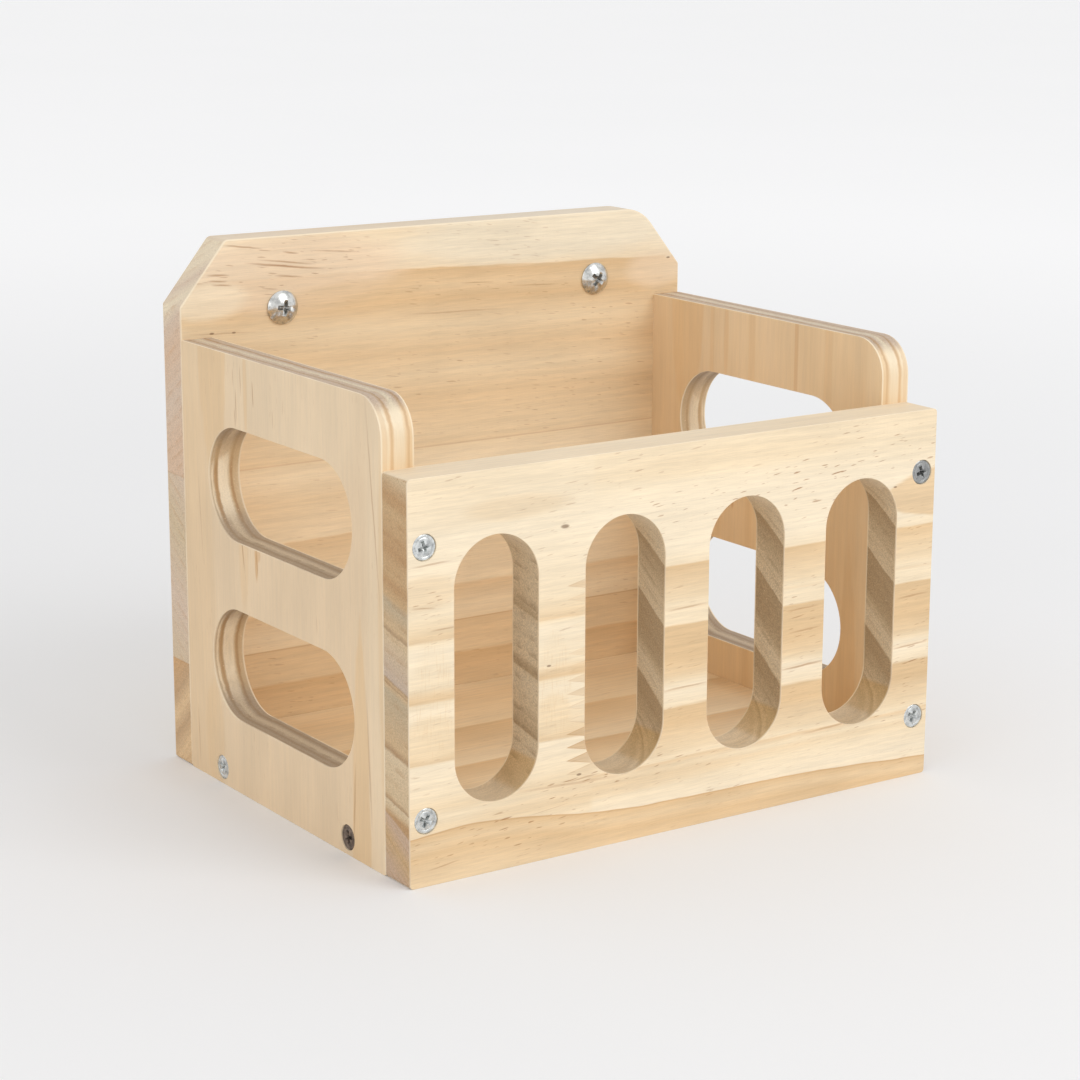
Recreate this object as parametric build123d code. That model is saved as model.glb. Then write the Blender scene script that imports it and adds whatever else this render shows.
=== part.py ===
from build123d import *
import math
import os

# Wooden hay feeder box that clamps onto the wires of a small-animal cage.
# Millimetres. X runs to the right as seen from the front, Y to the rear, Z up.
# The origin lies on the rear face of the back board, midway between the two mounting bolts.

# ---- Driving dimensions: the box ----
box_width = 250.0
box_depth = 191.0
front_height = 154.0
side_rise = 26.0
back_rise = 39.0

# ---- Driving dimensions: the boards ----
back_thickness = 16.0
front_thickness = 18.0
side_thickness = 14.0
floor_thickness = 14.0
eased_edge_radius = 0.8

# ---- Driving dimensions: outlines ----
corner_cut_width = 21.0
corner_cut_height = 26.0
left_corner_radius = 3.0
right_corner_radius = 18.0
side_corner_radius = 15.0

# ---- Driving dimensions: feeding slots ----
front_slot_count = 4
front_slot_end_margin = 19.5
front_slot_rib = 21.0
front_slot_bottom_margin = 27.5
front_slot_top_margin = 24.5
side_slot_count = 2
side_slot_end_margin = 21.5
side_slot_rib = 28.0
side_slot_bottom_margin = 31.0
side_slot_top_margin = 29.0

# ---- Driving dimensions: countersunk wood screws ----
screw_length = 35.0
screw_diameter = 5.0
screw_head_diameter = 10.0
screw_head_rim = 0.5
screw_point_length = 5.0
screw_sink = 0.2
screw_clearance = 0.05
panel_screw_end_distance = 25.5
floor_screw_end_distance = 27.5
screw_recess_span = 5.2
screw_recess_wing = 1.3
screw_recess_depth = 2.4
recess_taper = 8.0
recess_turns = (18.0, 62.0, 35.0, 80.0, 10.0, 51.0)

# ---- Driving dimensions: mounting bolts ----
bolt_diameter = 6.0
bolt_length = 40.0
bolt_head_diameter = 14.0
bolt_head_height = 3.4
bolt_head_rim = 0.7
bolt_tip_chamfer = 0.8
bolt_hole_clearance = 0.25
bolt_edge_distance = 46.5
bolt_top_distance = 29.5
bolt_recess_span = 7.6
bolt_recess_wing = 1.9
bolt_recess_depth = 2.6
left_bolt_turn = -8.0
right_bolt_turn = 52.0

# ---- Driving dimensions: washers and wing nuts ----
wire_gap = 4.0
washer_diameter = 40.0
washer_thickness = 1.5
washer_hole_clearance = 0.2
washer_eased_edge = 0.3
nut_hub_base_diameter = 13.0
nut_hub_top_diameter = 11.0
nut_hub_height = 8.0
nut_span = 33.0
nut_height = 17.0
nut_wing_thickness = 2.5
nut_lobe_radius = 5.5
nut_eased_edge = 0.5
nut_thread_clearance = 0.05
left_nut_turn = 20.0
right_nut_turn = -35.0

# ---- Places that follow from them ----
half_width = box_width / 2
rear_y = 0.0
back_front_y = rear_y - back_thickness
front_y = rear_y - box_depth
front_rear_y = front_y + front_thickness
side_length = back_front_y - front_rear_y
side_height = front_height + side_rise
back_height = side_height + back_rise
back_top_z = bolt_top_distance
base_z = back_top_z - back_height
side_top_z = base_z + side_height
front_top_z = base_z + front_height
side_middle_x = half_width - side_thickness / 2
bolt_x = half_width - bolt_edge_distance
washer_y = rear_y + wire_gap
nut_y = washer_y + washer_thickness

LEFT = -1
RIGHT = 1


def along(start, room, count, gap):
    """Middles of `count` equal slots filling `room` from `start`, `gap` apart, and the size of each."""
    size = (room - (count - 1) * gap) / count
    middles = [start + size / 2 + number * (size + gap) for number in range(count)]
    return middles, size


def slot_shape(middle_x, middle_y, size_x, size_y):
    """A slot with round ends, long way along the larger of its two sizes."""
    turn = 0 if size_x >= size_y else 90
    return Pos(middle_x, middle_y) * SlotOverall(max(size_x, size_y), min(size_x, size_y), rotation=turn)


def eased(board, thickness_axis, radius):
    """The board with every edge round its two broad faces rounded over."""
    rims = board.edges() - board.edges().filter_by(thickness_axis)
    return fillet(rims, radius)


def back_outline():
    """The back board seen from the front: a rectangle with both top corners cut at a slant."""
    cut_z = back_top_z - corner_cut_height
    corners = [
        (-half_width, base_z),
        (half_width, base_z),
        (half_width, cut_z),
        (half_width - corner_cut_width, back_top_z),
        (-half_width + corner_cut_width, back_top_z),
        (-half_width, cut_z),
    ]
    outline = make_face(Polyline(*corners, close=True))
    upper = outline.vertices().group_by(Axis.Y)[-1].sort_by(Axis.X)
    outline = fillet(upper[-1], right_corner_radius)
    upper = outline.vertices().group_by(Axis.Y)[-1].sort_by(Axis.X)
    return fillet(upper[0], left_corner_radius)


def back_blank():
    """The back board before drilling."""
    board = extrude(Plane.XZ.offset(-rear_y) * back_outline(), back_thickness)
    return eased(board, Axis.Y, eased_edge_radius)


def front_blank():
    """The front panel with its upright feeding slots, before drilling."""
    outline = Pos(0, base_z + front_height / 2) * Rectangle(box_width, front_height)
    room = box_width - 2 * front_slot_end_margin
    middles, slot_width = along(-room / 2, room, front_slot_count, front_slot_rib)
    slot_height = front_height - front_slot_bottom_margin - front_slot_top_margin
    slot_z = base_z + front_slot_bottom_margin + slot_height / 2
    for middle in middles:
        outline -= slot_shape(middle, slot_z, slot_width, slot_height)
    board = extrude(Plane.XZ.offset(-front_rear_y) * outline, front_thickness)
    return eased(board, Axis.Y, eased_edge_radius)


def side_blank(side):
    """One side panel with its lying feeding slots, before drilling."""
    middle_y = (front_rear_y + back_front_y) / 2
    outline = Pos(middle_y, base_z + side_height / 2) * Rectangle(side_length, side_height)
    top_front = outline.vertices().group_by(Axis.Y)[-1].sort_by(Axis.X)[0]
    outline = fillet(top_front, side_corner_radius)
    room = side_height - side_slot_bottom_margin - side_slot_top_margin
    middles, slot_height = along(base_z + side_slot_bottom_margin, room, side_slot_count, side_slot_rib)
    slot_length = side_length - 2 * side_slot_end_margin
    for middle in middles:
        outline -= slot_shape(middle_y, middle, slot_length, slot_height)
    inner_x = half_width - side_thickness
    start_x = inner_x if side == RIGHT else -half_width
    board = extrude(Plane.YZ.offset(start_x) * outline, side_thickness)
    return eased(board, Axis.X, eased_edge_radius)


def floor_blank():
    """The floor board, which fills the space between the four walls, before drilling."""
    inner_width = box_width - 2 * side_thickness
    outline = Pos(0, (front_rear_y + back_front_y) / 2) * Rectangle(inner_width, side_length)
    board = extrude(Plane.XY.offset(base_z) * outline, floor_thickness)
    return eased(board, Axis.Z, eased_edge_radius)


def cross_recess(span, wing, depth):
    """The cross-shaped driver recess, its mouth at z = 0 and narrower towards its floor."""
    cross = Rectangle(span, wing) + Rectangle(wing, span)
    return extrude(cross, -depth, taper=recess_taper)


def screw_body(clearance, mouth):
    """A countersunk screw's outer shape, with its head's top at z = 0, pointing down.

    With a clearance it is the hole that such a screw fits, which then opens `mouth` above the head.
    """
    head = screw_head_diameter / 2 + clearance
    shank = screw_diameter / 2 + clearance
    cone_top = -screw_head_rim
    cone_bottom = cone_top - (head - shank)
    tip = -screw_length - clearance
    profile = [
        (0, mouth),
        (head, mouth),
        (head, cone_top),
        (shank, cone_bottom),
        (shank, tip + screw_point_length),
        (0, tip),
    ]
    return revolve(Plane.XZ * make_face(Polyline(*profile, close=True)), Axis.Z)


def wood_screw():
    """One countersunk wood screw with its head's top at z = 0, pointing down."""
    return screw_body(0, 0) - cross_recess(screw_recess_span, screw_recess_wing, screw_recess_depth)


def mounting_bolt():
    """One domed machine bolt, its head above z = 0 and its shank below."""
    rim = bolt_head_diameter / 2
    rise = bolt_head_height - bolt_head_rim
    dome_radius = (rim**2 + rise**2) / (2 * rise)
    half_turn = math.asin(rim / dome_radius) / 2
    dome_drop = dome_radius * (1 - math.cos(half_turn))
    dome_middle = (dome_radius * math.sin(half_turn), bolt_head_height - dome_drop)
    sides = Polyline((0, bolt_head_height), (0, 0), (rim, 0), (rim, bolt_head_rim))
    dome = ThreePointArc((rim, bolt_head_rim), dome_middle, (0, bolt_head_height))
    head = revolve(Plane.XZ * make_face(sides + dome), Axis.Z)
    recess = Pos(0, 0, bolt_head_height) * cross_recess(bolt_recess_span, bolt_recess_wing, bolt_recess_depth)
    rod = Pos(0, 0, -bolt_length / 2) * Cylinder(bolt_diameter / 2, bolt_length)
    rod = chamfer(rod.edges().group_by(Axis.Z)[0], bolt_tip_chamfer)
    return head + rod - recess


def fender_washer():
    """One large washer standing on z = 0."""
    ring = Circle(washer_diameter / 2) - Circle(bolt_diameter / 2 + washer_hole_clearance)
    washer = extrude(ring, washer_thickness)
    outer = washer.edges().filter_by(GeomType.CIRCLE).sort_by(SortBy.RADIUS)[-2:]
    return fillet(outer, washer_eased_edge)


def wing_outline(side):
    """One wing of the wing nut, seen along the plate's thickness."""
    lobe_x = side * (nut_span / 2 - nut_lobe_radius)
    lobe_z = nut_height - nut_lobe_radius
    inset = side * nut_hub_top_diameter / 4
    reach = side * nut_lobe_radius * math.sin(math.pi / 4)
    rise = nut_lobe_radius * math.sin(math.pi / 4)
    web = [
        (inset, nut_eased_edge),
        (inset, nut_hub_height - nut_eased_edge),
        (lobe_x - reach, lobe_z + rise),
        (lobe_x + reach, lobe_z - rise),
        (side * nut_hub_base_diameter / 2, nut_eased_edge),
    ]
    return make_face(Polyline(*web, close=True)) + Pos(lobe_x, lobe_z) * Circle(nut_lobe_radius)


def wing_nut():
    """One wing nut standing on z = 0, its wings spread along X."""
    hub = Cone(
        nut_hub_base_diameter / 2,
        nut_hub_top_diameter / 2,
        nut_hub_height,
        align=(Align.CENTER, Align.CENTER, Align.MIN),
    )
    nut = hub
    for side in (LEFT, RIGHT):
        plate = extrude(Plane.XZ * wing_outline(side), nut_wing_thickness / 2, both=True)
        broad = plate.edges() - plate.edges().filter_by(Axis.Y)
        nut += fillet(broad, nut_eased_edge)
    bore = Cylinder(bolt_diameter / 2 + nut_thread_clearance, 3 * nut_height)
    return nut - bore


def facing(point, outwards, turn=0.0):
    """The location at the point whose z axis points outwards, turned about it."""
    return Plane(origin=point, z_dir=outwards).location * Rot(Z=turn)


def screw_places():
    """Each wood screw's node name, with its head's place, the way it faces and the two boards it joins."""
    lower_z = base_z + panel_screw_end_distance
    front_heights = {"upper": front_top_z - panel_screw_end_distance, "lower": lower_z}
    rear_heights = {"upper": side_top_z - panel_screw_end_distance, "lower": lower_z}
    floor_ends = {
        "front": front_rear_y + floor_screw_end_distance,
        "rear": back_front_y - floor_screw_end_distance,
    }
    floor_middle_z = base_z + floor_thickness / 2
    places = {}
    for side_name, side in (("left", LEFT), ("right", RIGHT)):
        side_panel = f"{side_name}_side_panel"
        for level, height in front_heights.items():
            point = (side * side_middle_x, front_y + screw_sink, height)
            places[f"front_screw_{side_name}_{level}"] = (point, (0, -1, 0), ("front_panel", side_panel))
        for level, height in rear_heights.items():
            point = (side * side_middle_x, rear_y - screw_sink, height)
            places[f"rear_screw_{side_name}_{level}"] = (point, (0, 1, 0), ("back_board", side_panel))
        for end, middle_y in floor_ends.items():
            point = (side * (half_width - screw_sink), middle_y, floor_middle_z)
            places[f"floor_screw_{side_name}_{end}"] = (point, (side, 0, 0), (side_panel, "floor_board"))
    return places


def boards():
    """The five boards before drilling, by node name."""
    return {
        "back_board": back_blank(),
        "front_panel": front_blank(),
        "left_side_panel": side_blank(LEFT),
        "right_side_panel": side_blank(RIGHT),
        "floor_board": floor_blank(),
    }


def fit_screws(nodes):
    """Add every wood screw and drill the two boards that it joins."""
    for number, (name, (point, outwards, joined)) in enumerate(screw_places().items()):
        seat = facing(point, outwards, recess_turns[number % len(recess_turns)])
        nodes[name] = seat * wood_screw()
        for board in joined:
            nodes[board] -= seat * screw_body(screw_clearance, 2 * screw_sink)


def fit_clamp(nodes, side_name, side, bolt_turn, nut_turn):
    """Add one mounting bolt with its washer and wing nut, and drill the back board for it."""
    bolt_seat = facing((side * bolt_x, back_front_y, 0), (0, -1, 0), bolt_turn)
    nodes["back_board"] -= bolt_seat * Cylinder(bolt_diameter / 2 + bolt_hole_clearance, 3 * back_thickness)
    nodes[f"{side_name}_mounting_bolt"] = bolt_seat * mounting_bolt()
    nodes[f"{side_name}_fender_washer"] = facing((side * bolt_x, washer_y, 0), (0, 1, 0)) * fender_washer()
    nodes[f"{side_name}_wing_nut"] = facing((side * bolt_x, nut_y, 0), (0, 1, 0), nut_turn) * wing_nut()


def build():
    """Every node's solid, by name."""
    nodes = boards()
    fit_screws(nodes)
    fit_clamp(nodes, "left", LEFT, left_bolt_turn, left_nut_turn)
    fit_clamp(nodes, "right", RIGHT, right_bolt_turn, right_nut_turn)
    return nodes


os.makedirs("parts", exist_ok=True)
for name, solid in build().items():
    export_step(solid, f"parts/{name}.step")
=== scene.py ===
"""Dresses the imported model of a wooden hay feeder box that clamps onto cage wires.

Five pine boards, twelve countersunk screws and two clamps, each a domed bolt with a large washer and a
wing nut. Every sub-assembly is a class that builds its own meshes and gives them their finish.
"""

import logging
import math
from dataclasses import dataclass, field
from enum import Enum
from typing import Any, Sequence

import bmesh
import bpy
from mathutils import Euler, Matrix, Vector


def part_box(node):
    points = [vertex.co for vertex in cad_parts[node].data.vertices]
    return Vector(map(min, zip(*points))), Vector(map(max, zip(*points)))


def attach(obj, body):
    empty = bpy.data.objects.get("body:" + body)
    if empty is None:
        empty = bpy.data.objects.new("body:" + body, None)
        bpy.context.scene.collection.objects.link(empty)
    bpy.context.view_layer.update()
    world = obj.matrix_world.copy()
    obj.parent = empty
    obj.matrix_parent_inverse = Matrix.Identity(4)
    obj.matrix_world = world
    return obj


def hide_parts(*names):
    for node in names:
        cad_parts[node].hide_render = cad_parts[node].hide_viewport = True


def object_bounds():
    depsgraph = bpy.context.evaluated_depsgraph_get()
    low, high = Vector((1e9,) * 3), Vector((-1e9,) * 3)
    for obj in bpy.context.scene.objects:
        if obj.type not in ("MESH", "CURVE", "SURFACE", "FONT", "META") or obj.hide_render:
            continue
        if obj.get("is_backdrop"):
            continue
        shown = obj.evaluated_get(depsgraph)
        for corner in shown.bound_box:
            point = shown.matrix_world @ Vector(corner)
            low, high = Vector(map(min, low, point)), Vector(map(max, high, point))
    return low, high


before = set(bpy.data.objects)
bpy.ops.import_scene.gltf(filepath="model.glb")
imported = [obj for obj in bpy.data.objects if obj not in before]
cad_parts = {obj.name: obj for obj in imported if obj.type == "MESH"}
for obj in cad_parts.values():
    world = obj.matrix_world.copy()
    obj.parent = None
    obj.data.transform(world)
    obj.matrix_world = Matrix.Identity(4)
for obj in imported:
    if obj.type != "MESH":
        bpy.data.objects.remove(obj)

logging.basicConfig(level=logging.INFO, format="%(name)s: %(message)s")
LOG = logging.getLogger("hay_feeder_box")

Socket = bpy.types.NodeSocket
Value = float | Socket

MM = 0.001  # in metres
CLOSE = 1e-6  # metres: points nearer than this are one
JUST_UNDER_HALF = 0.4999  # keeps a slot's two end arcs from meeting
FRONTWARDS = Vector((0, -1, 0))
REARWARDS = Vector((0, 1, 0))


# ------------------------------------------------------------
# Colours
# ------------------------------------------------------------


def linear(channel: float) -> float:
    """One screen colour channel, from 0 to 255, as a linear value from 0 to 1."""
    share = channel / 255
    return share / 12.92 if share <= 0.04045 else ((share + 0.055) / 1.055) ** 2.4


class Tone(Enum):
    """The tones of bare pine, glue and the metal parts, some of them painted shade, as screen colours."""

    PALE = (251, 234, 205)
    CREAM = (249, 229, 196)
    PEACH = (246, 221, 190)
    BLUSH = (228, 201, 177)
    # SAND is kept darker than the side panels' wood, as painted shade; it also colours the dust in the
    # slots
    SAND = (234, 208, 173)
    STRAW = (243, 219, 182)
    WHEAT = (237, 208, 167)
    HONEY = (231, 198, 153)
    CARAMEL = (218, 178, 131)
    OCHRE = (204, 164, 99)
    AMBER = (200, 154, 104)
    RUSSET = (172, 122, 78)
    BARK = (112, 78, 50)
    EDGE_GREY = (213, 197, 178)
    # painted shade tone for the slot walls
    SLOT_GREY = (190, 182, 160)
    MILK = (249, 238, 214)
    DUSK = (205, 174, 138)
    # painted shade tone for the side panels' slot walls
    DRAB = (184, 161, 132)
    DRIFT = (220, 202, 172)
    ASH = (226, 207, 190)
    GLUE = (243, 236, 222)
    ZINC = (226, 229, 228)
    ZINC_DARK = (150, 153, 154)
    TARNISH = (168, 169, 168)
    NICKEL = (224, 224, 221)
    NICKEL_DARK = (112, 116, 117)
    BRONZE = (134, 119, 108)
    # a dark tone for the browned screw's clouds and for the painted shade in driver recesses
    SOOT_AND_SHADE = (44, 41, 39)
    FLOOR = (243, 243, 244)

    @property
    def rgba(self) -> tuple[float, float, float, float]:
        """The tone as a linear colour with full alpha."""
        red, green, blue = self.value
        return (linear(red), linear(green), linear(blue), 1.0)


# ------------------------------------------------------------
# Node trees
# ------------------------------------------------------------


class Sheet:
    """A node tree with short ways to add nodes and join them up."""

    def __init__(self, tree: bpy.types.NodeTree) -> None:
        """Start on an empty tree.

        Args:
            tree: The shader or geometry tree to add nodes to.
        """
        self.tree = tree
        tree.nodes.clear()

    def node(self, kind: str, inputs: dict[Any, Any] | None = None, **settings: Any) -> bpy.types.Node:
        """Add one node.

        Args:
            kind: The node's Blender type name.
            inputs: Socket names or numbers, each with a value or with the socket that feeds it.
            **settings: The node's own properties.

        Returns:
            The new node.
        """
        made = self.tree.nodes.new(kind)
        for name, value in settings.items():
            setattr(made, name, value)
        for key, value in (inputs or {}).items():
            if isinstance(value, Socket):
                self.tree.links.new(value, made.inputs[key])
            else:
                made.inputs[key].default_value = value
        return made

    def math(self, operation: str, *values: Value, clamp: bool = False) -> Socket:
        """Join one to three numbers with a Math node and return its result."""
        made = self.node("ShaderNodeMath", dict(enumerate(values)), operation=operation, use_clamp=clamp)
        return made.outputs[0]

    def times(self, first: Value, second: Value) -> Socket:
        """The product of two numbers."""
        return self.math("MULTIPLY", first, second)

    def less(self, first: Value, second: Value) -> Socket:
        """The first number less the second."""
        return self.math("SUBTRACT", first, second)

    def total(self, *values: Value) -> Value:
        """The sum of one or more numbers.

        Args:
            *values: The numbers.

        Returns:
            Their sum.
        """
        result = values[0]
        for value in values[1:]:
            result = self.math("ADD", result, value)
        return result

    def highest(self, *values: Value) -> Value:
        """The largest of one or more numbers.

        Args:
            *values: The numbers.

        Returns:
            The largest of them.
        """
        result = values[0]
        for value in values[1:]:
            result = self.math("MAXIMUM", result, value)
        return result

    def vector(self, x: Value, y: Value, z: Value) -> Socket:
        """A vector from its three parts."""
        return self.node("ShaderNodeCombineXYZ", {0: x, 1: y, 2: z}).outputs[0]

    def scaled(self, vector: Socket, factors: Sequence[float]) -> Socket:
        """A vector with each part multiplied by its own factor."""
        made = self.node("ShaderNodeVectorMath", {0: vector, 1: tuple(factors)}, operation="MULTIPLY")
        return made.outputs[0]

    def step(self, value: Value, low: float, high: float, start: float = 0.0, end: float = 1.0) -> Socket:
        """A smooth step of the value from start, at low, to end, at high.

        Args:
            value: The number to follow.
            low: Where the step starts.
            high: Where the step ends.
            start: The result at low and before it.
            end: The result at high and beyond it.

        Returns:
            The result.
        """
        made = self.node(
            "ShaderNodeMapRange",
            {0: value, 1: low, 2: high, 3: start, 4: end},
            interpolation_type="SMOOTHSTEP",
        )
        return made.outputs[0]

    def noise(
        self, vector: Socket, cell: Sequence[float], detail: float, seed: float, roughness: float = 0.5
    ) -> Socket:
        """Smooth noise between 0 and 1 whose blobs are about one cell large.

        Args:
            vector: The place, in millimetres.
            cell: The blobs' size along each part of the vector, in millimetres.
            detail: How many finer layers are added.
            seed: Moves the pattern, so that two alike don't match.
            roughness: How strong the finer layers are.

        Returns:
            The noise value.
        """
        place = self.scaled(vector, [1 / size for size in cell])
        made = self.node(
            "ShaderNodeTexNoise",
            {"Vector": place, "W": seed, "Scale": 1.0, "Detail": detail, "Roughness": roughness},
            noise_dimensions="4D",
        )
        return made.outputs[0]

    def wander(
        self, vector: Socket, cell: Sequence[float], reach: float, detail: float, seed: float
    ) -> Socket:
        """Noise about 0 that wanders up to about half its reach each way."""
        return self.times(self.less(self.noise(vector, cell, detail, seed), 0.5), reach)

    def mix(self, factor: Value, first: Any, second: Any, blend: str = "MIX") -> Socket:
        """Two colours mixed or blended by a factor.

        Args:
            factor: The second colour's share, or how strongly it is blended.
            first: The colour underneath.
            second: The colour on top.
            blend: How the two are blended.

        Returns:
            The colour.
        """
        made = self.node(
            "ShaderNodeMix", {0: factor, 6: first, 7: second}, data_type="RGBA", blend_type=blend
        )
        return made.outputs[2]

    def shaded(self, colour: Socket, level: Socket) -> Socket:
        """A colour multiplied by a grey level."""
        return self.mix(1.0, colour, self.vector(level, level, level), "MULTIPLY")

    def ramp(
        self, value: Value, stops: Sequence[tuple[float, Sequence[float]]], kind: str = "LINEAR"
    ) -> Socket:
        """A colour ramp.

        Args:
            value: The place along the ramp, in the same unit as the stops.
            stops: Places, in rising order, each with its colour.
            kind: How colours are blended between the stops.

        Returns:
            The colour.
        """
        low, high = stops[0][0], stops[-1][0]
        share = self.math("DIVIDE", self.less(value, low), high - low)
        made = self.node("ShaderNodeValToRGB", {0: share})
        made.color_ramp.interpolation = kind
        elements = made.color_ramp.elements
        while len(elements) < len(stops):
            elements.new(1.0)
        for element, (place, colour) in zip(elements, stops):
            element.position = (place - low) / (high - low)
            element.color = colour
        return made.outputs[0]


def new_material(name: str) -> tuple[bpy.types.Material, Sheet]:
    """Start a material.

    Args:
        name: Its name.

    Returns:
        The material and its empty node tree.
    """
    made = bpy.data.materials.new(name)
    made.use_nodes = True
    return made, Sheet(made.node_tree)


# ------------------------------------------------------------
# Pine
# ------------------------------------------------------------


@dataclass(frozen=True)
class Spot:
    """An elliptical place on a board, in millimetres along and across its grain."""

    along: float
    across: float
    reach_along: float
    reach_across: float


@dataclass(frozen=True)
class Swell(Spot):
    """A spot where the growth rings bulge towards the face, which draws arches round it."""

    height: float = 3.0


@dataclass(frozen=True)
class Stain(Spot):
    """A spot of another tone, such as a wedge of late wood."""

    tone: Tone = Tone.HONEY
    strength: float = 0.7
    rim: float = 0.25


@dataclass(frozen=True)
class Crowd(Spot):
    """A spot where the resin canals' brown dashes crowd together."""

    amount: float = 0.6


@dataclass(frozen=True)
class Walls(Spot):
    """Where a board's slots are, and the tone that their walls lean to, which is painted shade inside the
    slots.

    Share is for walls in end grain, and long_share for walls that lie along the grain. Late is how
    much darker late wood shows in them, partly the grain and partly painted shade, and grit how rough
    the saw left them. Bend is a warmer tone on the round ends below bend_line, by how far the grain
    runs out there.
    """

    tone: Tone = Tone.SLOT_GREY
    share: float = 0.4
    long_share: float = 0.4
    late: float = 0.0
    grit: float = 0.05
    bend: Tone | None = None
    bend_share: float = 0.6
    bend_line: float = 0.0


@dataclass(frozen=True)
class Streak:
    """One long brown line in the grain, pointed at both ends."""

    start: tuple[float, float]
    end: tuple[float, float]
    width: float = 0.45
    strength: float = 0.55


@dataclass(frozen=True)
class Knot:
    """A pin knot."""

    along: float
    across: float
    radius: float


@dataclass(frozen=True)
class Timber:
    """One length of timber in a board.

    Its rings are surfaces of equal growth height: millimetres across the board, with a lean for each
    millimetre of depth. Each band is a growth height with the tone that the wood has there, and ends
    does the same for the end grain outside any slots, or in them too. Rings is the pitch of the fine
    rings that show in end grain, negative where they darken downwards, and ring_share how strongly.
    """

    bands: tuple[tuple[float, Tone], ...]
    ends: tuple[tuple[float, Tone], ...] = ()
    ends_in_slots: bool = False
    rise: float = 1.0
    lean: float = 0.0
    drift: float = 0.0
    waver: float = 1.1
    rings: float = 3.4
    ring_share: float = 0.3
    seed: float = 0.0
    swells: tuple[Swell, ...] = ()


@dataclass(frozen=True)
class GlueLine:
    """A straight or wavy line that runs along a board, with another timber below it.

    Where the timber follows the line, its growth heights are counted from the line.
    """

    timber: Timber
    edge: tuple[tuple[float, float], ...]
    lean: float = 0.0
    fray: float = 0.4
    follows: bool = False


@dataclass(frozen=True)
class FingerJoint:
    """An end joint with pointed fingers, with another timber beyond it.

    Shows is how clearly the fingers stand out, from 0 to 1, at heights across the board.
    """

    timber: Timber
    tips: float
    shows: tuple[tuple[float, float], ...]
    length: float = 12.0
    pitch: float = 5.25


@dataclass(frozen=True)
class PineFinish:
    """Bare planed pine whose grain runs through the solid wood, so that faces, slots and ends agree.

    Grain, across and depth name the axes that run along the grain, across it and into the board. Depth
    starts at the face and counts inwards. Figure is how strongly the fine fibres and streaks show.
    """

    name: str
    grain: str
    across: str
    depth: str
    face: float
    inward: float
    thickness: float
    timber: Timber
    finger_joint: FingerJoint | None = None
    glue_lines: tuple[GlueLine, ...] = ()
    stains: tuple[Stain, ...] = ()
    knots: tuple[Knot, ...] = ()
    crowds: tuple[Crowd, ...] = ()
    streaks: tuple[Streak, ...] = ()
    planed: tuple[Spot, ...] = ()
    walls: Walls | None = None
    dash_tilt: float = 0.04
    dashes: float = 0.35
    edge_share: float = 0.45
    end_level: float = 1.0
    figure: float = 1.0

    def material(self) -> bpy.types.Material:
        """Build the material."""
        return PineTree(self).made


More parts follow.
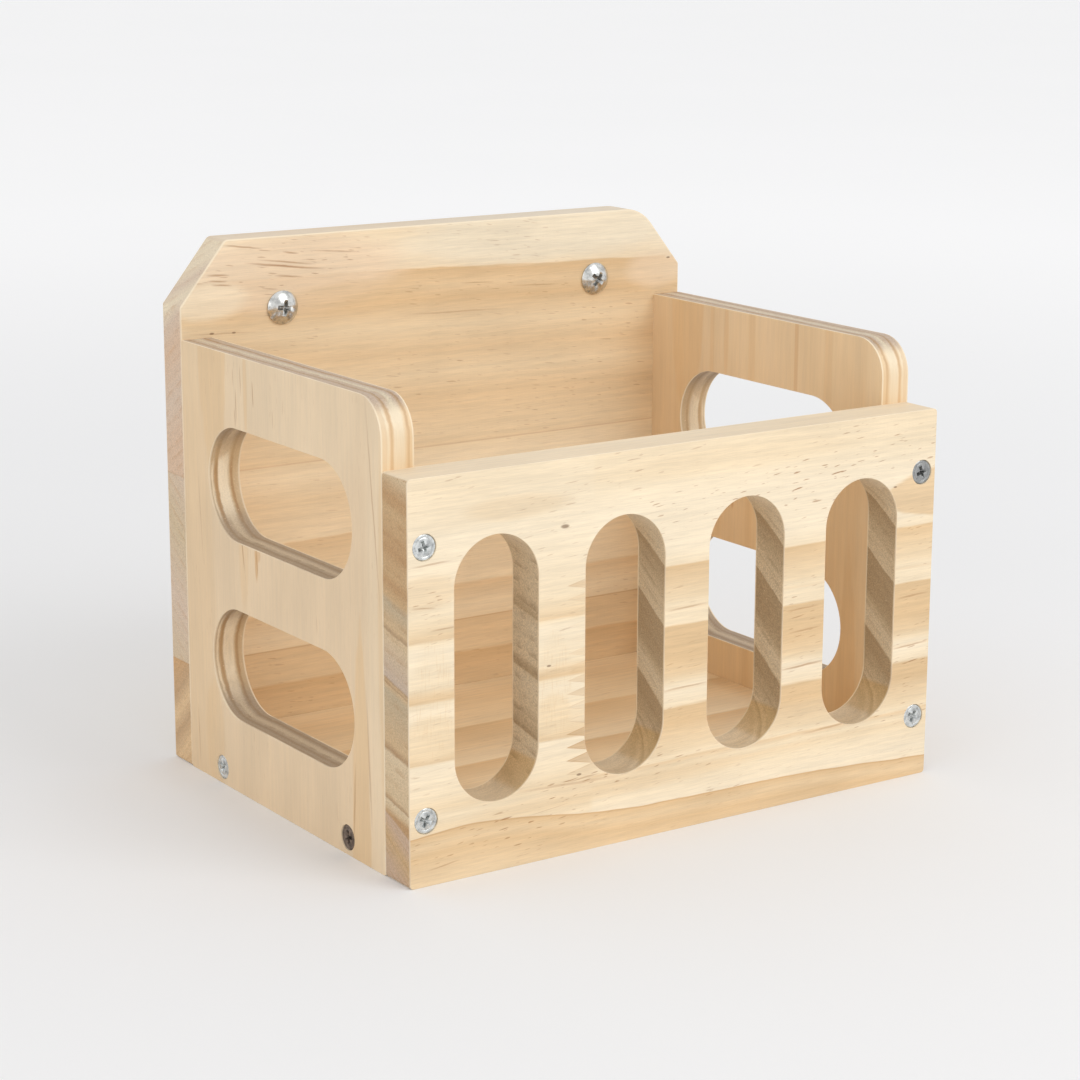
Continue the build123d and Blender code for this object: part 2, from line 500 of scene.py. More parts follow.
class PineTree:
    """Builds a pine finish's node tree. Every length in it is in millimetres."""

    def __init__(self, finish: PineFinish) -> None:
        """Build the tree.

        Args:
            finish: What the wood looks like.
        """
        self.finish = finish
        self.made, self.sheet = new_material(finish.name)
        coords = self.sheet.node("ShaderNodeTexCoord").outputs
        parts = self._parts(self.sheet.scaled(coords["Object"], [1 / MM] * 3))
        normal = self._parts(coords["Normal"])
        self.along, self.across = parts[finish.grain], parts[finish.across]
        self.depth = self.sheet.times(self.sheet.less(parts[finish.depth], finish.face), finish.inward)
        self.local = self.sheet.vector(self.along, self.across, self.depth)
        self.end_on = self.sheet.math("ABSOLUTE", normal[finish.grain])
        self.face_on = self.sheet.math("ABSOLUTE", normal[finish.depth])

        self.ripple = self.sheet.total(
            self.sheet.wander(self.local, (24, 8, 8), 1.5, 1, 4.0),
            self.sheet.wander(self.local, (13, 0.9, 1.5), 0.9, 2, 8.0),
        )
        self.ragged = self.sheet.wander(self.local, (9, 2.5, 4), 0.9, 2, 83.0)
        self.faint = self.sheet.noise(self.local, (30, 6, 6), 1, 16.0)
        self.inside = self._in_slots()
        self.bend, core = self._knots()
        face, end = self._timbers()
        face = self._planed(self._stains(face))
        fibre, streak, mottle = self._fibres()
        dash = self._dashes()
        face = self.sheet.mix(self.sheet.times(dash, 0.8), face, Tone.RUSSET.rgba)
        fine = finish.figure
        face = self._shaded_by(
            face,
            (mottle, 0.95, 1.03),
            (streak, 1 - 0.058 * fine, 1 + 0.04 * fine),
            (fibre, 1 - 0.05 * fine, 1 + 0.035 * fine),
        )
        face = self.sheet.mix(core, face, Tone.BARK.rgba)
        colour = self._surfaces(face, end, mottle)
        self._shader(colour, fibre, streak, dash)

    def _parts(self, vector: Socket) -> bpy.types.bpy_prop_collection:
        """The vector's X, Y and Z."""
        return self.sheet.node("ShaderNodeSeparateXYZ", {0: vector}).outputs

    def _reach(self, spot: Spot) -> Socket:
        """The squared distance from a spot's middle, which is 1 at its reach.

        Args:
            spot: The place.

        Returns:
            The squared distance.
        """
        sheet = self.sheet
        first = sheet.math("DIVIDE", sheet.less(self.along, spot.along), spot.reach_along)
        second = sheet.math("DIVIDE", sheet.less(self.across, spot.across), spot.reach_across)
        return sheet.total(sheet.math("POWER", first, 2.0), sheet.math("POWER", second, 2.0))

    def _shaded_by(self, colour: Socket, *layers: tuple[Socket, float, float]) -> Socket:
        """The colour darkened and lightened by layers of noise, each with its two levels.

        Args:
            colour: The colour to shade.
            *layers: Each noise with its dark and its light level.

        Returns:
            The shaded colour.
        """
        for value, dark, light in layers:
            colour = self.sheet.shaded(colour, self.sheet.step(value, 0.3, 0.7, dark, light))
        return colour

    def _in_slots(self) -> Value:
        """1 in the part of the board that holds the slots, 0 outside it.

        Returns:
            The number.
        """
        sheet, walls = self.sheet, self.finish.walls
        if walls is None:
            return 0.0
        first = sheet.math("DIVIDE", sheet.less(self.along, walls.along), walls.reach_along)
        second = sheet.math("DIVIDE", sheet.less(self.across, walls.across), walls.reach_across)
        farther = sheet.highest(sheet.math("ABSOLUTE", first), sheet.math("ABSOLUTE", second))
        return sheet.step(farther, 1.01, 1.0)

    def _knots(self) -> tuple[Value, Value]:
        """Pin knots: how far they push the rings, and where their dark cores are.

        Returns:
            The push on the rings and the share of the cores' tone.
        """
        bend: Value = 0.0
        core: Value = 0.0
        for knot in self.finish.knots:
            place = Spot(knot.along, knot.across, 2.4 * knot.radius, knot.radius)
            square = self.sheet.total(self._reach(place), self.ragged)
            bend = self.sheet.total(bend, self.sheet.step(square, 9.0, 0.0, 0.0, 1.8 * knot.radius))
            core = self.sheet.highest(core, self.sheet.step(square, 1.3, 0.2, 0.0, 0.7))
        return bend, core

    def _timber(self, timber: Timber, across: Socket) -> tuple[Socket, Socket]:
        """One timber's colour on its faces and on its end grain.

        Args:
            timber: The timber.
            across: The place across it, in millimetres.

        Returns:
            The colour on faces and the colour on end grain.
        """
        sheet = self.sheet
        growth = sheet.total(
            sheet.times(across, timber.rise),
            sheet.times(self.depth, timber.lean),
            sheet.times(self.along, timber.drift),
            sheet.wander(self.local, (95, 30, 30), 2 * timber.waver, 1, timber.seed),
            self.ripple,
            self.bend,
        )
        for swell in timber.swells:
            push = sheet.math("EXPONENT", sheet.times(self._reach(swell), -1.0))
            growth = sheet.total(growth, sheet.times(push, swell.height))
        face = sheet.ramp(growth, [(height, tone.rgba) for height, tone in timber.bands])
        end = face
        if timber.ends:
            outer = sheet.ramp(growth, [(height, tone.rgba) for height, tone in timber.ends])
            end = outer if timber.ends_in_slots else sheet.mix(self.inside, outer, face)
        ring = sheet.math("FRACT", sheet.math("DIVIDE", growth, timber.rings))
        dark = sheet.times(sheet.step(ring, 0.45, 0.93), sheet.step(ring, 1.0, 0.95))
        share = sheet.step(self.faint, 0.4, 0.65, 0.13 * timber.ring_share, timber.ring_share)
        return face, sheet.mix(sheet.times(dark, share), end, Tone.AMBER.rgba)

    def _timbers(self) -> tuple[Socket, Socket]:
        """Every timber joined: the colour on faces and on end grain.

        Returns:
            The two colours.
        """
        sheet, finish = self.sheet, self.finish
        face, end = self._timber(finish.timber, self.across)
        if finish.finger_joint:
            joint = finish.finger_joint
            tooth = sheet.math("PINGPONG", self.across, joint.pitch / 2)
            line = sheet.math("MULTIPLY_ADD", tooth, 2 * joint.length / joint.pitch, joint.tips)
            over = sheet.less(self.along, line)
            clear = sheet.ramp(self.across, [(place, (share,) * 3 + (1,)) for place, share in joint.shows])
            root = sheet.step(self.along, joint.tips + joint.length + 2, joint.tips + joint.length - 3)
            finger = sheet.times(sheet.step(over, -0.25, 0.25), root)
            seen = sheet.times(finger, sheet.math("MULTIPLY_ADD", clear, 0.7, 0.25))
            mask = sheet.math("ADD", sheet.step(root, 1.0, 0.0), seen, clamp=True)
            other_face, other_end = self._timber(joint.timber, self.across)
            face, end = sheet.mix(mask, face, other_face), sheet.mix(mask, end, other_end)
            face = sheet.mix(sheet.times(sheet.times(finger, clear), 0.45), face, Tone.DUSK.rgba)
            glue = sheet.times(sheet.step(sheet.math("ABSOLUTE", over), 1.0, 0.2), sheet.times(clear, root))
            face = sheet.mix(sheet.times(glue, 0.6), face, Tone.AMBER.rgba)
        for joint in finish.glue_lines:
            if len(joint.edge) > 1:
                levels = [level for _, level in joint.edge]
                low, span = min(levels), max(levels) - min(levels)
                stops = [(place, ((level - low) / span,) * 3 + (1,)) for place, level in joint.edge]
                curve = sheet.ramp(self.along, stops, "B_SPLINE")
                edge: Value = sheet.math("MULTIPLY_ADD", curve, span, low)
            else:
                edge = joint.edge[0][1]
            edge = sheet.total(edge, sheet.wander(self.local, (14, 30, 30), 2.2 * joint.fray, 2, 71.0))
            above = sheet.less(self.across, sheet.total(edge, sheet.times(self.depth, joint.lean)))
            mask = sheet.step(above, 0.2, -0.2)
            other_face, other_end = self._timber(joint.timber, above if joint.follows else self.across)
            face, end = sheet.mix(mask, face, other_face), sheet.mix(mask, end, other_end)
            seam = sheet.step(sheet.math("ABSOLUTE", sheet.total(above, 0.25)), 0.45, 0.1, 0.0, 0.35)
            face, end = (sheet.mix(seam, colour, Tone.AMBER.rgba) for colour in (face, end))
        return face, end

    def _stains(self, colour: Socket) -> Socket:
        """The colour with every stain laid over it.

        Args:
            colour: The wood's own colour.

        Returns:
            The stained colour.
        """
        sheet = self.sheet
        edge = sheet.wander(self.local, (26, 5, 5), 0.8, 3, 60.0)
        for stain in self.finish.stains:
            square = sheet.total(self._reach(stain), edge)
            mask = sheet.step(square, 1.0 + stain.rim, 1.0 - stain.rim, 0.0, stain.strength)
            colour = sheet.mix(mask, colour, stain.tone.rgba)
        return colour

    def _planed(self, colour: Socket) -> Socket:
        """The colour with the upright marks that a blunt planer left here and there.

        Args:
            colour: The wood's own colour.

        Returns:
            The colour with the marks.
        """
        sheet = self.sheet
        if not self.finish.planed:
            return colour
        marks = sheet.noise(self.local, (0.7, 7, 16), 1, 88.0)
        for spot in self.finish.planed:
            near = sheet.step(sheet.total(self._reach(spot), sheet.times(self.ragged, 0.6)), 1.3, 0.5)
            colour = sheet.mix(sheet.times(near, 0.15), colour, Tone.STRAW.rgba)
            near = sheet.times(near, sheet.step(marks, 0.5, 0.7, 0.0, 0.28))
            colour = sheet.mix(near, colour, Tone.HONEY.rgba)
        return colour

    def _fibres(self) -> tuple[Socket, Socket, Socket]:
        """Noise for the fine fibres, for the wider streaks and for the slow drift of tone.

        Returns:
            The three noise values.
        """
        fibre = self.sheet.noise(self.local, (9, 0.3, 0.3), 2, 5.0)
        streak = self.sheet.noise(self.local, (48, 1.7, 1.7), 3, 9.0)
        mottle = self.sheet.noise(self.local, (55, 20, 20), 2, 3.0)
        return fibre, streak, mottle

    def _dashes(self) -> Socket:
        """Where resin canals show: short brown dashes that crowd in places, and long lines.

        Returns:
            A number that is 1 where a dash is darkest.
        """
        sheet, finish = self.sheet, self.finish
        tilted = sheet.less(self.across, sheet.times(self.along, finish.dash_tilt))
        slanted = sheet.vector(self.along, tilted, self.depth)
        crowd: Value = sheet.step(sheet.noise(self.local, (60, 22, 22), 1, 21.0), 0.42, 0.68, 0.12, 0.75)
        for spot in finish.crowds:
            near = sheet.step(self._reach(spot), 1.5, 0.3, 0.0, spot.amount)
            crowd = sheet.total(crowd, near)
        short = sheet.noise(slanted, (10.0, 1.0, 2.2), 1, 13.0)
        small = sheet.noise(slanted, (5.0, 0.8, 1.6), 0, 17.0)
        lines = sheet.step(sheet.noise(slanted, (42, 0.85, 2.2), 1, 31.0), 0.68, 0.76, 0.0, 0.35)
        dots = sheet.step(small, 0.70, 0.78, 0.0, 0.8)
        dash = sheet.highest(sheet.step(short, 0.655, 0.735), dots, lines)
        dash = sheet.math("MULTIPLY", sheet.times(dash, crowd), finish.dashes, clamp=True)
        for streak in finish.streaks:
            (first, level), (last, other) = streak.start, streak.end
            share = sheet.math("DIVIDE", sheet.less(self.along, first), last - first, clamp=True)
            taper = sheet.times(sheet.times(share, sheet.less(1.0, share)), 4.0)
            off = sheet.less(sheet.less(self.across, level), sheet.times(share, other - level))
            off = sheet.total(off, self.ragged)
            body = sheet.step(sheet.math("ABSOLUTE", off), streak.width, streak.width * 0.3)
            dash = sheet.highest(dash, sheet.times(sheet.times(body, taper), streak.strength))
        return sheet.times(dash, sheet.step(self.depth, 1.6, 0.6))

    def _surfaces(self, face: Socket, end: Socket, mottle: Socket) -> Socket:
        """The colour with edges and slot walls greyed, painted shade in the slots, end grain darkened and
        eased rims lightened, partly by wear and partly as a painted highlight.

        Args:
            face: The colour on faces.
            end: The colour on end grain.
            mottle: The slow drift of tone.

        Returns:
            The colour of every surface.
        """
        sheet, finish = self.sheet, self.finish
        # the edges and slot walls, the faces that don't face the board's front or back, lean to a grey tone
        sawn = sheet.step(self.face_on, 0.75, 0.2, 0.0, finish.edge_share)
        colour = sheet.mix(sawn, face, Tone.EDGE_GREY.rgba)
        across_grain = sheet.step(self.end_on, 0.55, 0.92)
        wood = sheet.mix(across_grain, colour, end)
        pores = sheet.noise(self.local, (0.55, 0.55, 0.55), 2, 41.0)
        light = 0.86 * finish.end_level
        dark = 0.60 * finish.end_level
        tint = [(0.28, (dark, dark * 0.94, dark * 0.86, 1)), (0.72, (light, light * 0.95, light * 0.88, 1))]
        end = sheet.mix(1.0, end, sheet.ramp(pores, tint), "MULTIPLY")
        specks = sheet.noise(self.local, (0.9, 0.9, 0.9), 0, 45.0)
        end = sheet.mix(sheet.step(specks, 0.74, 0.80, 0.0, 0.5), end, Tone.RUSSET.rgba)
        colour = sheet.mix(across_grain, colour, end)
        if finish.walls:
            walls = finish.walls
            # painted shade: the slot walls lean to the walls' tone, end grain more than long grain
            cut = sheet.times(self.inside, sheet.step(self.face_on, 0.75, 0.2))
            share = sheet.step(self.end_on, 0.3, 0.85, walls.long_share, walls.share)
            colour = sheet.mix(sheet.times(cut, share), colour, walls.tone.rgba)
            if walls.bend:
                run_out = sheet.times(
                    sheet.step(self.end_on, 0.4, 0.58, 0.35 * walls.bend_share, walls.bend_share),
                    sheet.step(self.end_on, 0.97, 0.93),
                )
                low = sheet.times(cut, sheet.step(self.across, walls.bend_line, walls.bend_line - 4))
                colour = sheet.mix(sheet.times(low, run_out), colour, walls.bend.rgba)
            # late wood in the slots is darkened, partly the grain and partly painted shade, and the saw's
            # grit roughens the walls
            early = sheet.node("ShaderNodeSeparateColor", {0: wood}).outputs[1]
            rough = sheet.times(
                sheet.step(early, 0.56, 0.80, 1 - walls.late, 1.0),
                sheet.step(pores, 0.3, 0.7, 1 - walls.grit, 1 + walls.grit),
            )
            colour = sheet.mix(cut, colour, sheet.shaded(colour, rough))
            dust = sheet.step(specks, 0.24, 0.18, 0.0, 0.5)
            colour = sheet.mix(sheet.times(cut, dust), colour, Tone.SAND.rgba)
        # the eased rims, by the depth of the nearer face, lightened partly as wear and partly as a painted
        # highlight where they catch the light
        nearer = sheet.math("MINIMUM", self.depth, sheet.less(finish.thickness, self.depth))
        rim = sheet.times(sheet.step(nearer, 1.0, 0.35), sheet.step(self.face_on, 0.985, 0.9))
        rim = sheet.times(rim, sheet.step(mottle, 0.3, 0.6, 0.45, 0.85))
        return sheet.mix(rim, colour, Tone.PALE.rgba)

    def _shader(self, colour: Socket, fibre: Socket, streak: Socket, dash: Socket) -> None:
        """The shader, with the fibres raised a little and the dashes sunk.

        Args:
            colour: The wood's colour.
            fibre: The fine fibres.
            streak: The wider streaks.
            dash: Where the resin canals show.
        """
        sheet = self.sheet
        chatter = sheet.math("SINE", sheet.times(self.along, 2 * math.pi / 1.9))
        height = sheet.total(
            sheet.times(fibre, 0.6), streak, sheet.times(dash, -0.8), sheet.times(chatter, 0.03)
        )
        bump = sheet.node("ShaderNodeBump", {"Strength": 0.35, "Distance": 0.00018, "Height": height})
        gloss = sheet.step(streak, 0.3, 0.7, 0.56, 0.68)
        shader = sheet.node(
            "ShaderNodeBsdfPrincipled",
            {"Base Color": colour, "Roughness": gloss, "Normal": bump.outputs[0], "IOR": 1.42},
        )
        sheet.node("ShaderNodeOutputMaterial", {0: shader.outputs[0]})


# ------------------------------------------------------------
# Metal, glue and floor finishes
# ------------------------------------------------------------


@dataclass(frozen=True)
class MetalFinish:
    """Plated or cast metal, with marks that follow each part's own turning axis.

    Crown and ball say how the head's top lies, so that its recess can be darkened with painted shade: its
    height, and its radius of curvature or 0 for a flat one.
    """

    name: str
    tone: Tone
    shade: Tone
    roughness: float
    turning: float = 0.4
    grain: float = 0.15
    clouds: float = 0.5
    dents: float = 0.0
    crown: float | None = None
    ball: float = 0.0
    sunk_shade: float = 0.35

    def material(self) -> bpy.types.Material:
        """Build the material's node tree from the part's own "shape" attribute, in millimetres.

        Returns:
            The material.
        """
        made, sheet = new_material(self.name)
        place = sheet.node("ShaderNodeAttribute", attribute_name="shape").outputs["Vector"]
        parts = sheet.node("ShaderNodeSeparateXYZ", {0: place}).outputs
        flat = sheet.vector(parts[0], parts[1], 0.0)
        radius = sheet.node("ShaderNodeVectorMath", {0: flat}, operation="LENGTH").outputs["Value"]
        cloud = sheet.noise(place, (2.0, 2.0, 2.0), 3, 1.0)
        speck = sheet.noise(place, (0.25, 0.25, 0.25), 2, 2.0)
        dent = sheet.noise(place, (1.5, 1.5, 1.5), 1, 4.0)
        rings = sheet.math("SINE", sheet.times(radius, 2 * math.pi / 0.35))
        # cloudy darker patches: partly smudges on the plating and partly painted reflection
        colour = sheet.mix(sheet.step(cloud, 0.38, 0.68, 0.0, self.clouds), self.tone.rgba, self.shade.rgba)
        colour = sheet.mix(sheet.step(speck, 0.62, 0.75, 0.0, 0.3), colour, self.shade.rgba)
        # painted shade: the head's recess, below the crown's surface, is darkened towards the dark tone
        if self.crown is not None:
            fall = sheet.times(sheet.math("POWER", radius, 2.0), 0.5 / self.ball) if self.ball else 0.0
            sunk = sheet.less(sheet.less(self.crown, fall), parts[2])
            deep = sheet.step(sunk, 0.2, 1.6, 0.0, self.sunk_shade)
            colour = sheet.mix(sheet.times(deep, sheet.step(radius, 4.6, 4.2)), colour, Tone.SOOT_AND_SHADE.rgba)
        gloss = sheet.step(cloud, 0.3, 0.7, self.roughness * 0.75, self.roughness * 1.3)
        height = sheet.total(
            sheet.times(rings, self.turning),
            sheet.times(speck, self.grain * 10),
            sheet.times(dent, self.dents * 40),
        )
        bump = sheet.node("ShaderNodeBump", {"Strength": 0.25, "Distance": 0.00004, "Height": height})
        shader = sheet.node(
            "ShaderNodeBsdfPrincipled",
            {"Base Color": colour, "Metallic": 1.0, "Roughness": gloss, "Normal": bump.outputs[0]},
        )
        sheet.node("ShaderNodeOutputMaterial", {0: shader.outputs[0]})
        return made


@dataclass(frozen=True)
class GlueFinish:
    """Dried wood glue, a little shiny and cloudy."""

    name: str = "dried_glue"
    tone: Tone = Tone.GLUE

    def material(self) -> bpy.types.Material:
        """Build the material.

        Returns:
            The material.
        """
        made, sheet = new_material(self.name)
        place = sheet.scaled(sheet.node("ShaderNodeTexCoord").outputs["Object"], [1 / MM] * 3)
        cloud = sheet.noise(place, (0.9, 0.9, 0.9), 2, 6.0)
        colour = sheet.mix(sheet.step(cloud, 0.35, 0.65, 0.0, 0.6), self.tone.rgba, Tone.STRAW.rgba)
        bump = sheet.node("ShaderNodeBump", {"Strength": 0.3, "Distance": 0.0001, "Height": cloud})
        gloss = sheet.step(cloud, 0.3, 0.7, 0.28, 0.4)
        shader = sheet.node(
            "ShaderNodeBsdfPrincipled",
            {"Base Color": colour, "Roughness": gloss, "Normal": bump.outputs[0]},
        )
        sheet.node("ShaderNodeOutputMaterial", {0: shader.outputs[0]})
        return made


@dataclass(frozen=True)
class FloorFinish:
    """Plain matt floor that keeps its pale level far behind the box, where less lamplight falls."""

    name: str = "studio_floor"
    tone: Tone = Tone.FLOOR
    lift: float = 0.16
    near: float = 0.1
    far: float = 2.0

    def material(self) -> bpy.types.Material:
        """Build the material.

        Returns:
            The material.
        """
        made, sheet = new_material(self.name)
        place = sheet.node("ShaderNodeTexCoord").outputs["Object"]
        cloud = sheet.noise(place, (0.4, 0.4, 0.4), 2, 0.0)
        tint = sheet.mix(sheet.step(cloud, 0.3, 0.7, 0.0, 0.06), self.tone.rgba, Tone.ZINC.rgba)
        matt = sheet.node("ShaderNodeBsdfPrincipled", {"Base Color": tint, "Roughness": 0.9})
        away = sheet.node("ShaderNodeVectorMath", {0: place}, operation="LENGTH").outputs["Value"]
        path = sheet.node("ShaderNodeLightPath").outputs
        seen = sheet.highest(path["Is Camera Ray"], path["Is Glossy Ray"], path["Is Transmission Ray"])
        strength = sheet.times(sheet.step(away, self.near, self.far, 0.0, self.lift), seen)
        glow = sheet.node("ShaderNodeEmission", {"Strength": strength})
        both = sheet.node("ShaderNodeAddShader", {0: matt.outputs[0], 1: glow.outputs[0]})
        sheet.node("ShaderNodeOutputMaterial", {0: both.outputs[0]})
        return made


# ------------------------------------------------------------
# Geometry node trees
# ------------------------------------------------------------


class ShapeTree:
    """A geometry node tree with named inputs, which a part runs on its own outline or profile."""

    def __init__(self, name: str, inputs: Sequence[tuple[str, str]]) -> None:
        """Start a tree.

        Args:
            name: The tree's name.
            inputs: Each input's name and socket type.
        """
        self.tree = bpy.data.node_groups.new(name, "GeometryNodeTree")
        face = self.tree.interface
        self.keys = {}
        face.new_socket("Geometry", in_out="INPUT", socket_type="NodeSocketGeometry")
        for label, kind in inputs:
            self.keys[label] = face.new_socket(label, in_out="INPUT", socket_type=kind).identifier
        face.new_socket("Geometry", in_out="OUTPUT", socket_type="NodeSocketGeometry")
        self.sheet = Sheet(self.tree)
        self.given = self.sheet.node("NodeGroupInput").outputs

    def close(self, geometry: bpy.types.NodeSocket) -> None:
        """End the tree in Realize Instances and Set Material.

        Args:
            geometry: What the tree has made.
        """
        solid = self.sheet.node("GeometryNodeRealizeInstances", {0: geometry})
        dressed = self.sheet.node(
            "GeometryNodeSetMaterial", {"Geometry": solid.outputs[0], "Material": self.given["Material"]}
        )
        self.sheet.node("NodeGroupOutput", {0: dressed.outputs[0]})

    def run_on(self, host: bpy.types.Object, values: dict[str, Any]) -> None:
        """Put the tree on an object as its first modifier.

        Args:
            host: The object whose mesh is the tree's geometry.
            values: Each input's value, by the input's name.
        """
        modifier = host.modifiers.new("shape", "NODES")
        modifier.node_group = self.tree
        for label, value in values.items():
            modifier[self.keys[label]] = value


def board_tree() -> ShapeTree:
    """The tree that turns an outline into a board with a row of round-ended slots.

    Returns:
        The tree. Its geometry is the outline as a closed loop of edges in the XY plane.
    """
    shape = ShapeTree(
        "board",
        [
            ("Thickness", "NodeSocketFloat"),
            ("Slot Count", "NodeSocketInt"),
            ("Slot Width", "NodeSocketFloat"),
            ("Slot Height", "NodeSocketFloat"),
            ("First Slot", "NodeSocketVector"),
            ("Slot Step", "NodeSocketVector"),
            ("Arc Steps", "NodeSocketInt"),
            ("Turn", "NodeSocketRotation"),
            ("Place", "NodeSocketVector"),
            ("Material", "NodeSocketMaterial"),
        ],
    )
    sheet, given = shape.sheet, shape.given
    outline = sheet.node("GeometryNodeMeshToCurve", {0: given["Geometry"]})
    slot = sheet.node(
        "GeometryNodeCurvePrimitiveQuadrilateral",
        {"Width": given["Slot Width"], "Height": given["Slot Height"]},
    )
    narrow = sheet.math("MINIMUM", given["Slot Width"], given["Slot Height"])
    radius = sheet.math("MULTIPLY", narrow, JUST_UNDER_HALF)
    rounded = sheet.node(
        "GeometryNodeFilletCurve",
        {"Curve": slot.outputs[0], "Count": given["Arc Steps"], "Radius": radius},
        mode="POLY",
    )
    row = sheet.node(
        "GeometryNodeMeshLine",
        {"Count": given["Slot Count"], "Start Location": given["First Slot"], "Offset": given["Slot Step"]},
    )
    slots = sheet.node(
        "GeometryNodeInstanceOnPoints", {"Points": row.outputs[0], "Instance": rounded.outputs[0]}
    )
    loose = sheet.node("GeometryNodeRealizeInstances", {0: slots.outputs[0]})
    joined = sheet.node("GeometryNodeJoinGeometry")
    for part in (loose, outline):
        sheet.tree.links.new(part.outputs[0], joined.inputs[0])
    face = sheet.node("GeometryNodeFillCurve", {0: joined.outputs[0]}, mode="NGONS")
    raised = sheet.node(
        "GeometryNodeExtrudeMesh",
        {"Mesh": face.outputs[0], "Offset Scale": given["Thickness"], "Individual": False},
        mode="FACES",
    )
    base = sheet.node("GeometryNodeFlipFaces", {0: face.outputs[0]})
    both = sheet.node("GeometryNodeJoinGeometry")
    for part in (raised, base):
        sheet.tree.links.new(part.outputs[0], both.inputs[0])
    welded = sheet.node("GeometryNodeMergeByDistance", {"Geometry": both.outputs[0], "Distance": CLOSE})
    placed = sheet.node(
        "GeometryNodeTransform",
        {"Geometry": welded.outputs[0], "Translation": given["Place"], "Rotation": given["Turn"]},
    )
    shape.close(placed.outputs[0])
    return shape


def turned_tree() -> ShapeTree:
    """The tree that turns a profile about Z, with a thread where the profile asks for one.

    Returns:
        The tree. Its geometry is the profile: points with the radius as X and the height as Z, and the
        share of the thread at each point as Y.
    """
    shape = ShapeTree(
        "turned_part",
        [
            ("Rows", "NodeSocketInt"),
            ("Segments", "NodeSocketInt"),
            ("Pitch", "NodeSocketFloat"),
            ("Thread Depth", "NodeSocketFloat"),
            ("Material", "NodeSocketMaterial"),
        ],
    )
    sheet, given = shape.sheet, shape.given
    columns = sheet.math("ADD", given["Segments"], 1)
    grid = sheet.node("GeometryNodeMeshGrid", {"Vertices X": columns, "Vertices Y": given["Rows"]})
    index = sheet.node("GeometryNodeInputIndex").outputs[0]
    row = sheet.math("MODULO", index, given["Rows"])
    column = sheet.math("FLOOR", sheet.math("DIVIDE", index, given["Rows"]))
    position = sheet.node("GeometryNodeInputPosition").outputs[0]
    sample = sheet.node(
        "GeometryNodeSampleIndex",
        {"Geometry": given["Geometry"], "Value": position, "Index": row},
        data_type="FLOAT_VECTOR",
    )
    point = sheet.node("ShaderNodeSeparateXYZ", {0: sample.outputs[0]}).outputs
    angle = sheet.math("MULTIPLY", sheet.math("DIVIDE", column, given["Segments"]), 2 * math.pi)
    turns = sheet.math("DIVIDE", column, given["Segments"])
    rise = sheet.math("DIVIDE", point[2], given["Pitch"])
    climb = sheet.math("FRACT", sheet.math("SUBTRACT", rise, turns))
    crest = sheet.math("PINGPONG", sheet.math("MULTIPLY", climb, 2.0), 1.0)
    crest = sheet.step(crest, 0.12, 0.88)
    cut = sheet.math("MULTIPLY", sheet.math("SUBTRACT", 1.0, crest), given["Thread Depth"])
    radius = sheet.math("SUBTRACT", point[0], sheet.math("MULTIPLY", cut, point[1]))
    place = sheet.vector(
        sheet.math("MULTIPLY", radius, sheet.math("COSINE", angle)),
        sheet.math("MULTIPLY", radius, sheet.math("SINE", angle)),
        point[2],
    )
    wrapped = sheet.node("GeometryNodeSetPosition", {"Geometry": grid.outputs[0], "Position": place})
    welded = sheet.node("GeometryNodeMergeByDistance", {"Geometry": wrapped.outputs[0], "Distance": CLOSE})
    shape.close(welded.outputs[0])
    return shape


# ------------------------------------------------------------
# Mesh helpers
# ------------------------------------------------------------


def linked(name: str, data: bpy.types.ID) -> bpy.types.Object:
    """Link a new object that holds some data to the scene.

    Args:
        name: The object's name.
        data: Its mesh, camera or light.

    Returns:
        The object.
    """
    made = bpy.data.objects.new(name, data)
    bpy.context.scene.collection.objects.link(made)
    return made


def new_host(
    name: str, points: Sequence[Sequence[float]], edges: Sequence[tuple[int, int]]
) -> bpy.types.Object:
    """A linked object of loose points and edges, for a tree to work on.

    Args:
        name: The object's name.
        points: The points, in metres.
        edges: Pairs of points to join.

    Returns:
        The object.
    """
    mesh = bpy.data.meshes.new(name)
    mesh.from_pydata([tuple(point) for point in points], list(edges), [])
    return linked(name, mesh)


def mesh_of(work: bmesh.types.BMesh, name: str) -> bpy.types.Mesh:
    """A named mesh of what was worked on, which is freed.

    Args:
        work: What was worked on.
        name: The mesh's name.

    Returns:
        The mesh.
    """
    mesh = bpy.data.meshes.new(name)
    work.to_mesh(mesh)
    work.free()
    return mesh


def skin(work: bmesh.types.BMesh, loops: Sequence[list[bmesh.types.BMVert]]) -> None:
    """Join rings of points into a closed skin, with a face over each end.

    Args:
        work: The mesh that holds the points.
        loops: The rings in order, each with as many points as the next.
    """
    count = len(loops[0])
    for first, second in zip(loops, loops[1:]):
        for i in range(count):
            j = (i + 1) % count
            work.faces.new((first[i], first[j], second[j], second[i]))
    work.faces.new(loops[0])
    work.faces.new(loops[-1][::-1])


def evaluated_mesh(host: bpy.types.Object, name: str) -> bpy.types.Mesh:
    """The host's mesh after its modifiers, as a plain mesh.

    Args:
        host: The object to evaluate. It is removed.
        name: The new mesh's name.

    Returns:
        The new mesh.
    """
    bpy.context.view_layer.update()
    graph = bpy.context.evaluated_depsgraph_get()
    mesh = bpy.data.meshes.new_from_object(host.evaluated_get(graph), depsgraph=graph)
    mesh.name = name
    bpy.data.objects.remove(host)
    return mesh


